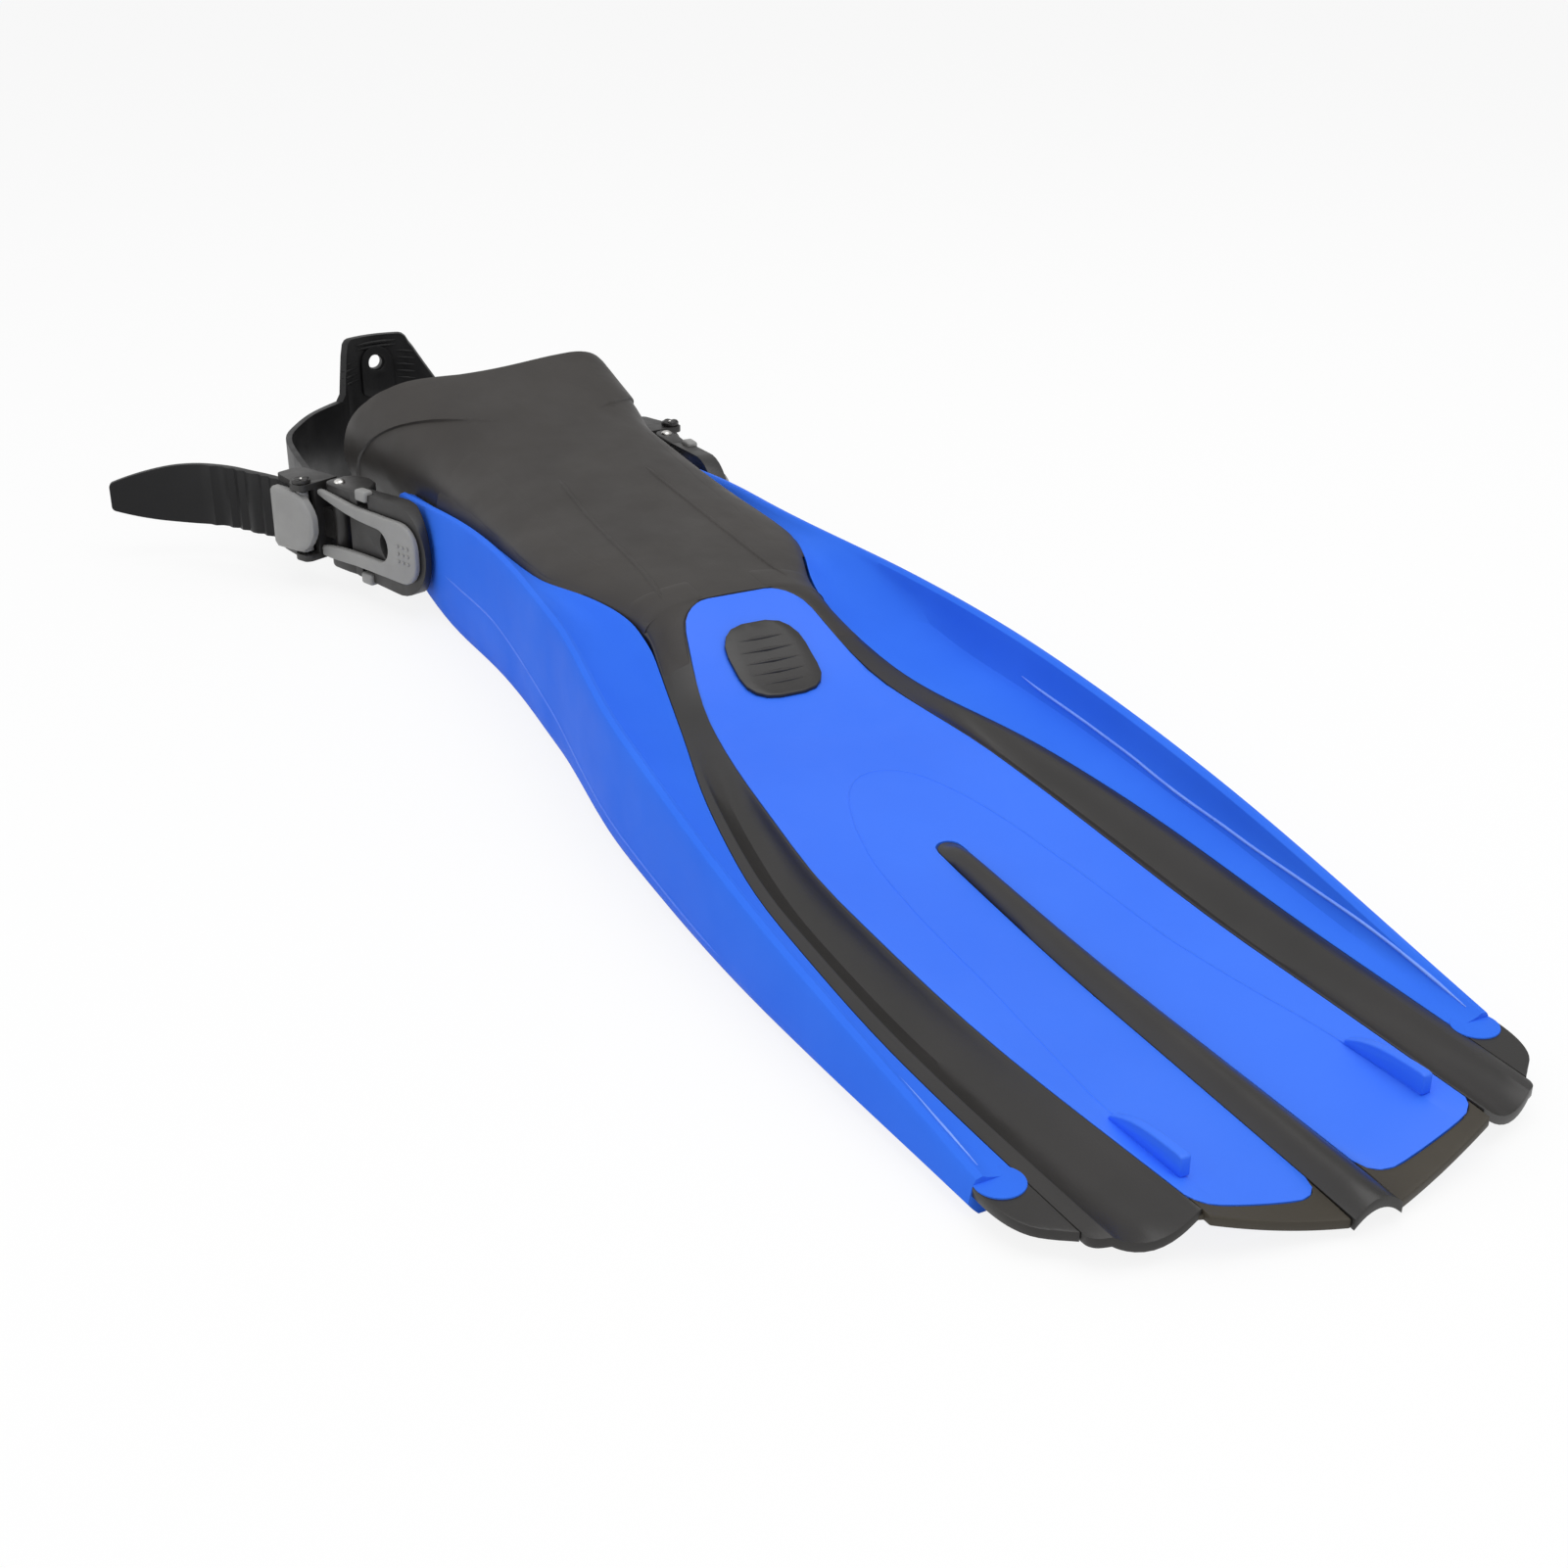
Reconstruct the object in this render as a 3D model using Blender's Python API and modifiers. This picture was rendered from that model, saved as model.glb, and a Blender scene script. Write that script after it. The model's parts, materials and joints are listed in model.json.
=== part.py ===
"""Open-heel swim fin with a quick-release heel strap.

The fin lies on its rails: +X runs from the heel to the tip of the blade, +Y to the wearer's left, +Z up.
The origin is on the flat underside of the sole. Sizes are in millimetres and become metres in the meshes.
"""
import math

import bmesh
import bpy
import numpy as np
from mathutils import Matrix, Vector

for old in list(bpy.data.objects):
    bpy.data.objects.remove(old, do_unlink=True)

MM = 0.001

# clearances
SEAM = 0.3            # between neighbouring mouldings
RUN = 0.3             # between a pin and its bore, and beside a sliding piece

# blade: stations from the toe seam to the tip, and what the blade measures there
BLADE_X = (18.0, 71.0, 134.0, 197.0, 281.0, 386.0)
PANEL_Z = (57.0, 29.8, 23.3, 16.4, 12.7, 14.5)
PANEL_HALF = (24.2, 38.0, 47.7, 52.0, 51.7, 48.2)
CHANNEL_HALF = (38.5, 49.7, 67.0, 76.4, 78.5, 77.1)
CHANNEL_FALL = (-11.5, -0.5, -0.1, 0.1, -2.1, -5.5)
DISH_X = (18.0, 134.0, 176.0, 281.0, 398.0)
DISH_Z = (0.0, -0.4, -1.3, -3.3, -9.0)
TROUGH_X = (98.0, 130.0, 240.0, 386.0)
TROUGH_Z = (0.0, 5.5, 8.0, 4.5)
TOE_X = 19.0          # seam between the foot pocket and the blade
NECK_RUN = 14.0       # how far the corner where they meet is rounded
NECK_BLEND = 45.0     # how far the round of the toe runs out into the channels
PANEL_THICK = 3.5
RUBBER_THICK = 3.0
PANEL_CORNER = 12.0   # round corners at the top of the panel
LOBE_INNER_X = 384.5  # rounded ends of the blue panel, slanting back from the middle
LOBE_SLANT = 5.0
LOBE_CORNER = 6.0     # round corners of a lobe: at the channel and at the ridge
LOBE_CORNER_IN = 9.0
BAND_MIDDLE = 11.0    # rubber beyond the lobes: at the middle line, at the corners, beside the rails
BAND_CORNER = 6.5
CHANNEL_REACH = 2.5
CHANNEL_SIDE = 5.5
CHANNEL_BOW = 2.0
RIDGE_X = 177.0       # round start of the ridge in the middle of the blade
RIDGE_HALF_START = 4.6
RIDGE_HALF_END = 8.2
RIDGE_RISE = 4.5
FIN_START_X = 331.0   # stabiliser fins on the lobes
FIN_END_X = 366.0
FIN_RISE = 4.8
FIN_THICK = 2.6
FIN_Y = 42.0
INLAY_X0 = 34.0
INLAY_X1 = 68.0
INLAY_HALF = 17.0
INLAY_RISE = 1.4

# side rails
RAIL_X = (-195.0, -94.0, 6.0, 106.0, 216.0, 341.0)
RAIL_HALF = (69.0, 67.4, 75.6, 90.0, 95.2, 91.7)
RAIL_Z = (48.5, 56.4, 55.6, 46.3, 31.3, 11.8)
PARTING_X = (-195.0, -150.0, -43.0, 48.0, 160.0, 268.0, 341.0)
PARTING_Z = (30.0, 28.4, 24.5, 17.3, 9.7, 4.5, 4.0)
RAIL_FOOT_X = (-195.0, -175.0, -150.0, -125.0, 341.0)
RAIL_FOOT_Z = (14.0, 8.0, 2.5, 0.0, 0.0)
WEB_X = (-195.0, -46.0, -18.0, 2.0, TOE_X)
WEB_Z = (46.0, 52.0, 52.5, 50.0, 45.4)
RAIL_WALL = 8.0
RAIL_BULGE = 1.0
WEB_THICK = 3.5
SCOOP = 5.0
SIDE_TIP_X = 370.0

# foot pocket: stations along the instep
POCKET_X = (-221.0, -205.0, -188.0, -165.0, -140.0, -110.0, -75.0, -46.0, -18.0, 2.0, TOE_X)
POCKET_TOP = (95.5, 91.2, 87.0, 81.0, 76.0, 71.0, 66.0, 63.0, 60.4, 58.6, 57.0)
POCKET_HALF = (68.5, 67.6, 65.6, 63.4, 61.0, 59.4, 58.6, 58.0, 50.0, 42.4, 38.6)
POCKET_SHOULDER = (50.0, 50.0, 50.5, 51.5, 52.5, 53.0, 53.0, 52.5, 51.5, 48.5, 45.2)
POCKET_POWER = (5.0, 4.2, 3.5, 3.0, 2.7, 2.6, 2.6, 2.6, 2.6, 2.8, 3.0)
POCKET_ROOT = (0.38, 0.43, 0.47, 0.49, 0.5, 0.5, 0.5, 0.5, 0.5, 0.5, 0.5)
POCKET_LEAN = (53.0, 44.5, 34.0, 23.0, 13.0, 5.0, 0.0, 0.0, 0.0, 0.0, 0.0)
POCKET_SHIFT = (-8.5, -6.0, -3.6, -1.6, 0.0, 0.0, 0.0, 0.0, 0.0, 0.0, 0.0)
POCKET_LIFT = (6.0, 4.0, 2.0, 0.0, 0.0, 0.0, 0.0, 0.0, 0.0, 0.0, 0.0)   # left corner of the mouth
MOUTH_LOW = 0.45      # share of that shift in the lower half of the mouth
POCKET_FLARE = 0.6    # how fast the pocket widens behind the rails
POCKET_WALL = 4.0
POCKET_FOOT_HALF = 56.0
POCKET_CORNER = 9.0

# sole
SOLE_REAR_X = -262.0
SOLE_FRONT_X = 82.0
SOLE_RISE_X = 20.0
SOLE_CORNER = 20.0
SOLE_THICK = 3.4
GRIP_THICK = 3.0
GRIP_REAR_X = -252.0
GRIP_FRONT_X = 14.0
GRIP_INSET = 7.0
GRIP_CORNER = 16.0

# buckles
STUD_X = -170.0
STUD_Z = 31.5
BUCKLE_Y = 69.5
TOE_OUT_LEFT = 2.0
TOE_OUT_RIGHT = 18.0  # the buckle with the loose tail stands further out
BOSS_R = 12.0
BOSS_RISE = 0.8
STUD_R = 8.0
FRAME_R = 22.0
FRAME_IN = 3.5
FRAME_OUT = 11.5
NOTCH_ROOM = 12.0     # from the fork's root to the hinge
FORK_REACH = 6.5      # from the hinge to the ends of the fork
FORK_TOP = 17.5
FORK_THICK = 5.7
HINGE_S = 47.0
HINGE_R = 2.4
HINGE_HEAD_R = 4.0
HINGE_HEAD = 1.8
CLIP_FRONT = 18.2
CLIP_REACH = 9.0      # from the hinge to the ends of the clip
CLIP_HALF = 14.5
CLIP_SLOT_HALF = 7.0
CLIP_SLOT_S = 3.5
CLIP_THICK = 3.2
CLIP_WAIST_S = 18.0    # where the clip starts to narrow
CLIP_TAPER = 1.5
CLIP_CHAMFER = 2.0
BUTTON_S = 24.0
BUTTON_W = 8.0
BUTTON_IN = 7.6
BUTTON_HIGH = 5.4
BUTTON_PROUD = 1.5
BUTTON_TRAVEL = 2.5

# strap carriers, levers and strap
CARRIER_TURN_RIGHT = 6.0
CARRIER_TURN_LEFT = -6.0
CARRIER_RISE = 1.5
TONGUE_HALF = 7.0
TONGUE_THICK = 5.6
CARRIER_FRONT = 10.0
CARRIER_WALL = 3.0
CARRIER_REAR = 37.0
CARRIER_HALF_N = 7.0
PLATE_THICK = 3.0
BAR_S = 20.0
BAR_R = 2.6
LEVER_S = 15.0
LEVER_PIN_R = 1.4
LEVER_CAP_R = 4.4
LEVER_CAP = 1.4
LEVER_KNUCKLE_R = 2.8
LEVER_THICK = 3.2
LEVER_FRONT = 5.0
LEVER_REAR = 34.0
PAWL_S = 26.0
STRAP_HIGH = 30.0
STRAP_THICK = 3.0
STRAP_PAD = 1.2
TOOTH_RISE = 1.3
TOOTH_PITCH = 6.0
TEETH = 9
TAIL_TIP_HIGH = 13.0
TAIL_TAPER = 46.0
HEEL_X = -387.0
HEEL_Y = -18.0
TAB_TOP_Z = 77.5
TAB_TOP_HALF = 19.0
TAB_FOOT_HALF = 24.5
TAB_CORNER = 5.0
TAB_FOOT_DIP = 2.0    # the strap's edge dips beside the tab
TAB_FOOT_RUN = 40.0
HEEL_PAD_DROP = 14.0  # the strap reaches lower round the heel
HEEL_PAD_HALF = 40.0
HEEL_PAD_RUN = 110.0
TAB_HOLE_R = 3.9
TAB_HOLE_Z = 63.0

# what follows from the sizes above
LOBE_OUTER_X = LOBE_INNER_X - LOBE_SLANT
TIP_MID_X = LOBE_INNER_X + BAND_MIDDLE
TIP_INNER_X = LOBE_OUTER_X + BAND_CORNER
CHANNEL_TIP_X = LOBE_OUTER_X + CHANNEL_REACH
CHANNEL_SIDE_X = LOBE_OUTER_X - CHANNEL_SIDE
BOSS_Y = BUCKLE_Y + BOSS_RISE
STEEPEST = math.radians(max(TOE_OUT_LEFT, TOE_OUT_RIGHT))
STUD_END_Y = BUCKLE_Y + FRAME_OUT * math.cos(STEEPEST) - STUD_R * math.sin(STEEPEST) - SEAM
FRAME_NOTCH = HINGE_S - NOTCH_ROOM
FORK_END = HINGE_S + FORK_REACH
FORK_GAP = FORK_TOP - FORK_THICK
HINGE_N = (FRAME_IN + FRAME_OUT) / 2
KNUCKLE_R = (FRAME_OUT - FRAME_IN) / 2
CLIP_REAR = HINGE_S + CLIP_REACH
BUTTON_FOOT = CLIP_HALF + RUN + BUTTON_TRAVEL
BUTTON_TOP = BUTTON_FOOT + BUTTON_HIGH
LEG = BAR_R + SEAM + STRAP_THICK / 2     # from the bar's axis to the middle of the strap
PAWL_FOOT = LEG + STRAP_THICK / 2 + TOOTH_RISE + SEAM
LEVER_N = PAWL_FOOT + LEVER_KNUCKLE_R
LEVER_FACE = LEVER_N + 0.4

BLUE = (0.03, 0.16, 0.88)
RUBBER = (0.08, 0.073, 0.07)
BLACK = (0.02, 0.02, 0.021)
GREY = (0.31, 0.31, 0.305)
STEEL = (0.6, 0.6, 0.58)

parts = bpy.data.collections.new("swim_fin")
tools = bpy.data.collections.new("cutters")
bpy.context.scene.collection.children.link(parts)
bpy.context.scene.collection.children.link(tools)


def curve_through(xs, ys):
    """A smooth curve through stations, held level beyond its ends."""
    xs = np.asarray(xs, float)
    ys = np.asarray(ys, float)
    steps = np.diff(xs)
    rises = np.diff(ys) / steps
    slopes = np.zeros(len(xs))
    for i in range(1, len(xs) - 1):
        if rises[i - 1] * rises[i] > 0:
            a = 2 * steps[i] + steps[i - 1]
            b = steps[i] + 2 * steps[i - 1]
            slopes[i] = (a + b) / (a / rises[i - 1] + b / rises[i])
    slopes[0] = rises[0]
    slopes[-1] = rises[-1]

    def value(x):
        x = min(max(float(x), xs[0]), xs[-1])
        i = min(int(np.searchsorted(xs, x, side="right")) - 1, len(xs) - 2)
        h = steps[i]
        t = (x - xs[i]) / h
        low = (2 * t ** 3 - 3 * t ** 2 + 1) * ys[i] + (t ** 3 - 2 * t ** 2 + t) * h * slopes[i]
        high = (-2 * t ** 3 + 3 * t ** 2) * ys[i + 1] + (t ** 3 - t ** 2) * h * slopes[i + 1]
        return low + high
    return value


panel_z = curve_through(BLADE_X, PANEL_Z)
panel_half = curve_through(BLADE_X, PANEL_HALF)
channel_line = curve_through(BLADE_X, CHANNEL_HALF)
channel_fall = curve_through(BLADE_X, CHANNEL_FALL)
dish = curve_through(DISH_X, DISH_Z)
trough = curve_through(TROUGH_X, TROUGH_Z)
rail_half = curve_through(RAIL_X, RAIL_HALF)
rail_z = curve_through(RAIL_X, RAIL_Z)
parting_z = curve_through(PARTING_X, PARTING_Z)
rail_foot = curve_through(RAIL_FOOT_X, RAIL_FOOT_Z)
web_z_rear = curve_through(WEB_X, WEB_Z)
pocket_top = curve_through(POCKET_X, POCKET_TOP)
pocket_width = curve_through(POCKET_X, POCKET_HALF)
pocket_shoulder = curve_through(POCKET_X, POCKET_SHOULDER)
pocket_power = curve_through(POCKET_X, POCKET_POWER)
pocket_root = curve_through(POCKET_X, POCKET_ROOT)
pocket_lean = curve_through(POCKET_X, POCKET_LEAN)
pocket_shift = curve_through(POCKET_X, POCKET_SHIFT)
pocket_lift = curve_through(POCKET_X, POCKET_LIFT)


def ease(t):
    t = min(max(t, 0.0), 1.0)
    return t * t * (3 - 2 * t)


def round_loss(distance, radius):
    """How far a round corner draws back at a distance from its straight side."""
    if distance >= radius:
        return 0.0
    reach = radius - max(distance, 0.0)
    return radius - math.sqrt(max(radius * radius - reach * reach, 0.0))


def ridge_half(x):
    share = (x - RIDGE_X) / (TIP_MID_X - RIDGE_X)
    if share <= 0:
        return 0.0
    full = RIDGE_HALF_START + (RIDGE_HALF_END - RIDGE_HALF_START) * share
    return full - round_loss(x - RIDGE_X, full)


def panel_edge(x):
    return panel_half(x) - round_loss(x - TOE_X - SEAM, PANEL_CORNER)


def blade_top(x, y):
    """Height of the panel, dished towards its middle line."""
    across = min(abs(y) / panel_half(x), 1.0)
    return panel_z(x) + dish(x) * (1 - across ** 2)


def lobe_end(y):
    """Where a lobe ends along X, with its two round corners."""
    inner = ridge_half(LOBE_INNER_X) + SEAM
    outer = panel_half(LOBE_OUTER_X)
    share = (y - inner) / (outer - inner)
    end = LOBE_INNER_X + (LOBE_OUTER_X - LOBE_INNER_X) * share
    return end - round_loss(y - inner, LOBE_CORNER_IN) - round_loss(outer - y, LOBE_CORNER)


def pocket_half(x):
    """Half width of the foot pocket, kept inside the rails and flaring behind them."""
    shoulder_x = x - 0.65 * pocket_lean(x)
    room = rail_half(shoulder_x) - RAIL_WALL - SEAM * 6
    room += POCKET_FLARE * max(RAIL_X[0] - shoulder_x, 0.0)
    if x > TOE_X - NECK_RUN:
        return min(neck_half(x), room)
    return min(pocket_width(x), room)


def neck_half(x):
    """Half width of the black rubber where the pocket runs into its channels, without a corner."""
    reach = max(NECK_RUN - abs(x - TOE_X), 0.0)
    marks = [x + reach * (i - 6) / 6 for i in range(13)]
    return sum(pocket_width(m) if m <= TOE_X else channel_line(m) for m in marks) / len(marks)


def channel_half(x):
    return neck_half(x) if x < TOE_X + NECK_RUN else channel_line(x)


def web_half(x):
    if x <= TOE_X:
        return pocket_half(x) + SEAM * 2.5
    return channel_half(x) + SEAM / 2


def web_z(x):
    if x <= TOE_X:
        return web_z_rear(x)
    return panel_z(x) + channel_fall(x)


def stations(first, last, count):
    return [first + (last - first) * i / (count - 1) for i in range(count)]


def spread(first, last, count, ends=0.0):
    """Stations that crowd towards both ends as ends grows to 1."""
    out = []
    for i in range(count):
        t = i / (count - 1)
        soft = 0.5 - 0.5 * math.cos(math.pi * t)
        out.append(first + (last - first) * (t + (soft - t) * ends))
    return out


def paint(name, colour, rough, metal=0.0):
    mat = bpy.data.materials.new(name)
    mat.use_nodes = True
    shader = mat.node_tree.nodes["Principled BSDF"]
    shader.inputs["Base Color"].default_value = (*colour, 1.0)
    shader.inputs["Roughness"].default_value = rough
    shader.inputs["Metallic"].default_value = metal
    mat.diffuse_color = (*colour, 1.0)
    return mat


LOOKS = {"blue": (BLUE, 0.38, 0.0), "rubber": (RUBBER, 0.62, 0.0), "black": (BLACK, 0.5, 0.0),
         "grey": (GREY, 0.5, 0.0), "steel": (STEEL, 0.3, 1.0)}


def make(name, bm, look, parent=None, flip=False, cutter=False):
    """Turn a bmesh in millimetres into a named object, mirrored across Y when flip is set."""
    if flip:
        bmesh.ops.scale(bm, vec=(1, -1, 1), verts=bm.verts)
        bmesh.ops.reverse_faces(bm, faces=bm.faces)
    bmesh.ops.scale(bm, vec=(MM, MM, MM), verts=bm.verts)
    bmesh.ops.recalc_face_normals(bm, faces=bm.faces)
    mesh = bpy.data.meshes.new(name)
    bm.to_mesh(mesh)
    bm.free()
    obj = bpy.data.objects.new(name, mesh)
    if cutter:
        tools.objects.link(obj)
        obj.hide_render = True
        obj.display_type = "WIRE"
    else:
        parts.objects.link(obj)
        mesh.materials.append(paint(name, *LOOKS[look]))
        mesh.shade_smooth()
        mesh.set_sharp_from_angle(angle=math.radians(35))
    if parent is not None:
        obj.parent = parent
    return obj


def boolean(target, other, operation):
    mod = target.modifiers.new(operation.lower(), "BOOLEAN")
    mod.operation = operation
    mod.object = other
    mod.solver = "EXACT"


def grid_top(bm, rows):
    """Faces between rows of points."""
    lines = [[bm.verts.new(p) for p in row] for row in rows]
    for low, high in zip(lines, lines[1:]):
        for a, b, c, d in zip(low, low[1:], high[1:], high):
            bm.faces.new((a, b, c, d))


def plate(name, rows, thick, look, mirror=False, flip=False):
    """A curved plate: its top surface, drawn down by its thickness."""
    bm = bmesh.new()
    grid_top(bm, rows)
    if mirror:
        copy = [[(x, -y, z) for x, y, z in row] for row in rows]
        grid_top(bm, copy)
        bmesh.ops.remove_doubles(bm, verts=bm.verts, dist=0.001)
    base = bmesh.ops.extrude_face_region(bm, geom=list(bm.faces))
    lower = [v for v in base["geom"] if isinstance(v, bmesh.types.BMVert)]
    bmesh.ops.translate(bm, vec=(0, 0, -thick), verts=lower)
    return make(name, bm, look, flip=flip)


def loft(name, rings, look, flip=False, ends=True, parent=None):
    """A skin over closed rings of equal count, capped at both ends."""
    bm = bmesh.new()
    loops = [[bm.verts.new(p) for p in ring] for ring in rings]
    for low, high in zip(loops, loops[1:]):
        count = len(low)
        for i in range(count):
            j = (i + 1) % count
            bm.faces.new((low[i], low[j], high[j], high[i]))
    if ends:
        bm.faces.new(loops[0])
        bm.faces.new(loops[-1])
    return make(name, bm, look, flip=flip, parent=parent)


def prism(outline, first, last, axis):
    """A flat outline drawn out along an axis, from first to last."""
    bm = bmesh.new()
    verts = []
    for a, b in outline:
        if axis == "y":
            verts.append(bm.verts.new((a, first, b)))
        else:
            verts.append(bm.verts.new((a, b, first)))
    face = bm.faces.new(verts)
    out = bmesh.ops.extrude_face_region(bm, geom=[face])
    moved = [v for v in out["geom"] if isinstance(v, bmesh.types.BMVert)]
    step = (0, last - first, 0) if axis == "y" else (0, 0, last - first)
    bmesh.ops.translate(bm, vec=step, verts=moved)
    bmesh.ops.recalc_face_normals(bm, faces=bm.faces)
    return bm


def block(x0, x1, y0, y1, z0, z1):
    bm = bmesh.new()
    bmesh.ops.create_cube(bm, size=1.0)
    bmesh.ops.scale(bm, vec=(x1 - x0, y1 - y0, z1 - z0), verts=bm.verts)
    middle = ((x0 + x1) / 2, (y0 + y1) / 2, (z0 + z1) / 2)
    bmesh.ops.translate(bm, vec=middle, verts=bm.verts)
    return bm


def rod(radius, first, last, centre, axis, sides=18):
    """A cylinder along Y or Z through a centre given in the two other directions."""
    bm = bmesh.new()
    bmesh.ops.create_cone(bm, cap_ends=True, segments=sides, radius1=radius, radius2=radius,
                          depth=last - first)
    if axis == "y":
        bmesh.ops.rotate(bm, matrix=Matrix.Rotation(math.pi / 2, 3, "X"), verts=bm.verts)
        middle = (centre[0], (first + last) / 2, centre[1])
    else:
        middle = (centre[0], centre[1], (first + last) / 2)
    bmesh.ops.translate(bm, vec=middle, verts=bm.verts)
    return bm


def anchor(name, place, turn=0.0, parent=None):
    empty = bpy.data.objects.new(name, None)
    parts.objects.link(empty)
    empty.location = Vector(place) * MM
    empty.rotation_euler = (0, 0, math.radians(turn))
    if parent is not None:
        empty.parent = parent
    return empty


# blade panel: one moulding with two lobes, slotted for the ridge, with a small fin on each lobe
CORNER_MARKS = [TOE_X + SEAM + PANEL_CORNER * f for f in (0.0, 0.03, 0.1, 0.22, 0.4, 0.65, 1.0)]
LOBE_MARKS = 12
SLOT_MARKS = [RIDGE_X + RIDGE_HALF_START * f for f in (-0.5, 0.0, 0.04, 0.14, 0.3, 0.55, 1.2)]


def panel_rows():
    run = SLOT_MARKS[0] - CORNER_MARKS[-1]
    straight = CORNER_MARKS + [CORNER_MARKS[-1] + run * (i / 13) ** 1.3 for i in range(1, 13)] + SLOT_MARKS
    rows = []
    for u in straight + stations(0.07, 1.0, 10):
        row = []
        for v in spread(0.0, 1.0, LOBE_MARKS, 0.85):
            x = u
            if u <= 1.0:
                low = ridge_half(LOBE_INNER_X) + SEAM
                far = low + v * (panel_half(LOBE_OUTER_X) - SEAM / 2 - low)
                x = SLOT_MARKS[-1] + (lobe_end(far) - SLOT_MARKS[-1]) * u
            slit = ridge_half(x)
            inner = slit + SEAM if slit > 0 else 0.0
            y = inner + v * (panel_edge(x) - SEAM / 2 - inner)
            row.append((x, y, blade_top(x, y)))
        rows.append(row)
    return rows


blade_panel = plate("blade_panel", panel_rows(), PANEL_THICK, "blue", mirror=True)
for side in (1, -1):
    foot = min(blade_top(FIN_START_X, FIN_Y), blade_top(FIN_END_X, FIN_Y)) - PANEL_THICK / 2
    crest = blade_top(FIN_END_X, FIN_Y) + FIN_RISE
    outline = [(FIN_START_X, foot), (FIN_END_X, foot), (FIN_END_X - 1.0, crest), (FIN_END_X - 4.0, crest),
               (FIN_START_X, blade_top(FIN_START_X, FIN_Y) - 0.5)]
    wedge = make("panel_fin_form", prism(outline, FIN_Y - FIN_THICK / 2, FIN_Y + FIN_THICK / 2, "y"),
                 "blue", flip=side < 0, cutter=True)
    boolean(blade_panel, wedge, "UNION")


# rubber channels beside the panel, flat at the toe and hollowed towards the tip
def channel_end(v):
    bow = CHANNEL_TIP_X + (CHANNEL_SIDE_X - CHANNEL_TIP_X) * v
    return bow + CHANNEL_BOW * math.sin(math.pi * v)


def channel_height(x, y, v):
    inner = panel_half(x)
    outer = channel_half(x)
    if y < inner and x > TOE_X + NECK_BLEND:
        return blade_top(x, y)
    slope = panel_z(x) + channel_fall(x) * (y - inner) / (outer - inner)
    toe = panel_z(x) + channel_fall(x) * (1 - (1 - (y / outer) ** pocket_power(TOE_X)) ** pocket_root(TOE_X))
    slope = toe + (slope - toe) * ease((x - TOE_X) / NECK_BLEND)
    hollow = min(max((v - 0.03) / 0.79, 0.0), 1.0)
    return slope - trough(x) * math.sin(math.pi * hollow) ** 0.85


def channel_rows():
    shares = [0.0, 0.03, 0.12, 0.27, 0.45, 0.63, 0.76, 0.82, 1.0]
    rows = []
    for u in CORNER_MARKS + stations(0.04, 1.0, 19):
        row = []
        for v in shares:
            x = u
            if u <= 1.0:
                x = CORNER_MARKS[-1] + (channel_end(v) - CORNER_MARKS[-1]) * u
            inner = panel_edge(x) + SEAM / 2
            outer = channel_half(x) - SEAM / 2
            y = inner + v * (outer - inner)
            row.append((x, y, channel_height(x, y, v)))
        rows.append(row)
    return rows


for side, label in ((1, "left"), (-1, "right")):
    plate("channel_" + label, channel_rows(), RUBBER_THICK, "rubber", flip=side < 0)


# rubber ridge in the slot of the panel
def ridge_rows():
    back = SEAM * 3
    marks = [RIDGE_X + back + d for d in (0.1, 0.5, 1.4, 2.8, 4.8)] + stations(RIDGE_X + 12.0, TIP_MID_X, 11)
    rows = []
    for x in marks:
        row = []
        half = ridge_half(x - back)
        for v in stations(-1.0, 1.0, 7):
            hump = RIDGE_RISE * math.cos(v * math.pi / 2) ** 0.8 * ease((x - RIDGE_X) / 14.0)
            y = v * half
            row.append((x, y, blade_top(x, half) + hump))
        rows.append(row)
    return rows


plate("center_ridge", ridge_rows(), PANEL_THICK, "rubber")


# rubber bands round the ends of the lobes
def band_rows():
    inner = ridge_half(LOBE_INNER_X) + SEAM
    outer = panel_half(LOBE_OUTER_X) - SEAM
    rows = []
    for w in stations(0.0, 1.0, 4):
        row = []
        for v in spread(0.0, 1.0, LOBE_MARKS, 0.85):
            y = inner + v * (outer - inner)
            start = lobe_end(min(max(y, inner), outer)) + SEAM * 1.6
            tip = TIP_MID_X - 1.0 + (TIP_INNER_X - TIP_MID_X) * v
            x = start + (tip - start) * w
            low = max(y, ridge_half(x) + SEAM) if v < 0.5 else min(y, panel_half(x) - SEAM)
            row.append((x, low, blade_top(x, low) - 0.5 * w))
        rows.append(row)
    return rows


for side, label in ((1, "left"), (-1, "right")):
    plate("tip_band_" + label, band_rows(), RUBBER_THICK, "rubber", flip=side < 0)


# rubber side tips beyond the rails
def side_tip_rows():
    rows = []
    first = RAIL_X[-1] + SEAM
    for u in stations(0.0, 1.0, 9):
        row = []
        for v in stations(0.0, 1.0, 7):
            reach = SIDE_TIP_X - first
            x = first + reach * u * (1 - 0.12 * v)
            inner = channel_half(x) + SEAM / 2
            drawn = (rail_half(RAIL_X[-1]) - inner) * math.sqrt(max(1 - (u * 0.97) ** 2.6, 0.0))
            y = inner + v * drawn
            z = web_z(RAIL_X[-1]) + (panel_z(x) + channel_fall(x) - web_z(RAIL_X[-1])) * (1 - v)
            row.append((x, y, z - 0.8 * v * u))
        rows.append(row)
    return rows


for side, label in ((1, "left"), (-1, "right")):
    plate("side_tip_" + label, side_tip_rows(), RUBBER_THICK, "rubber", flip=side < 0)


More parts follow.
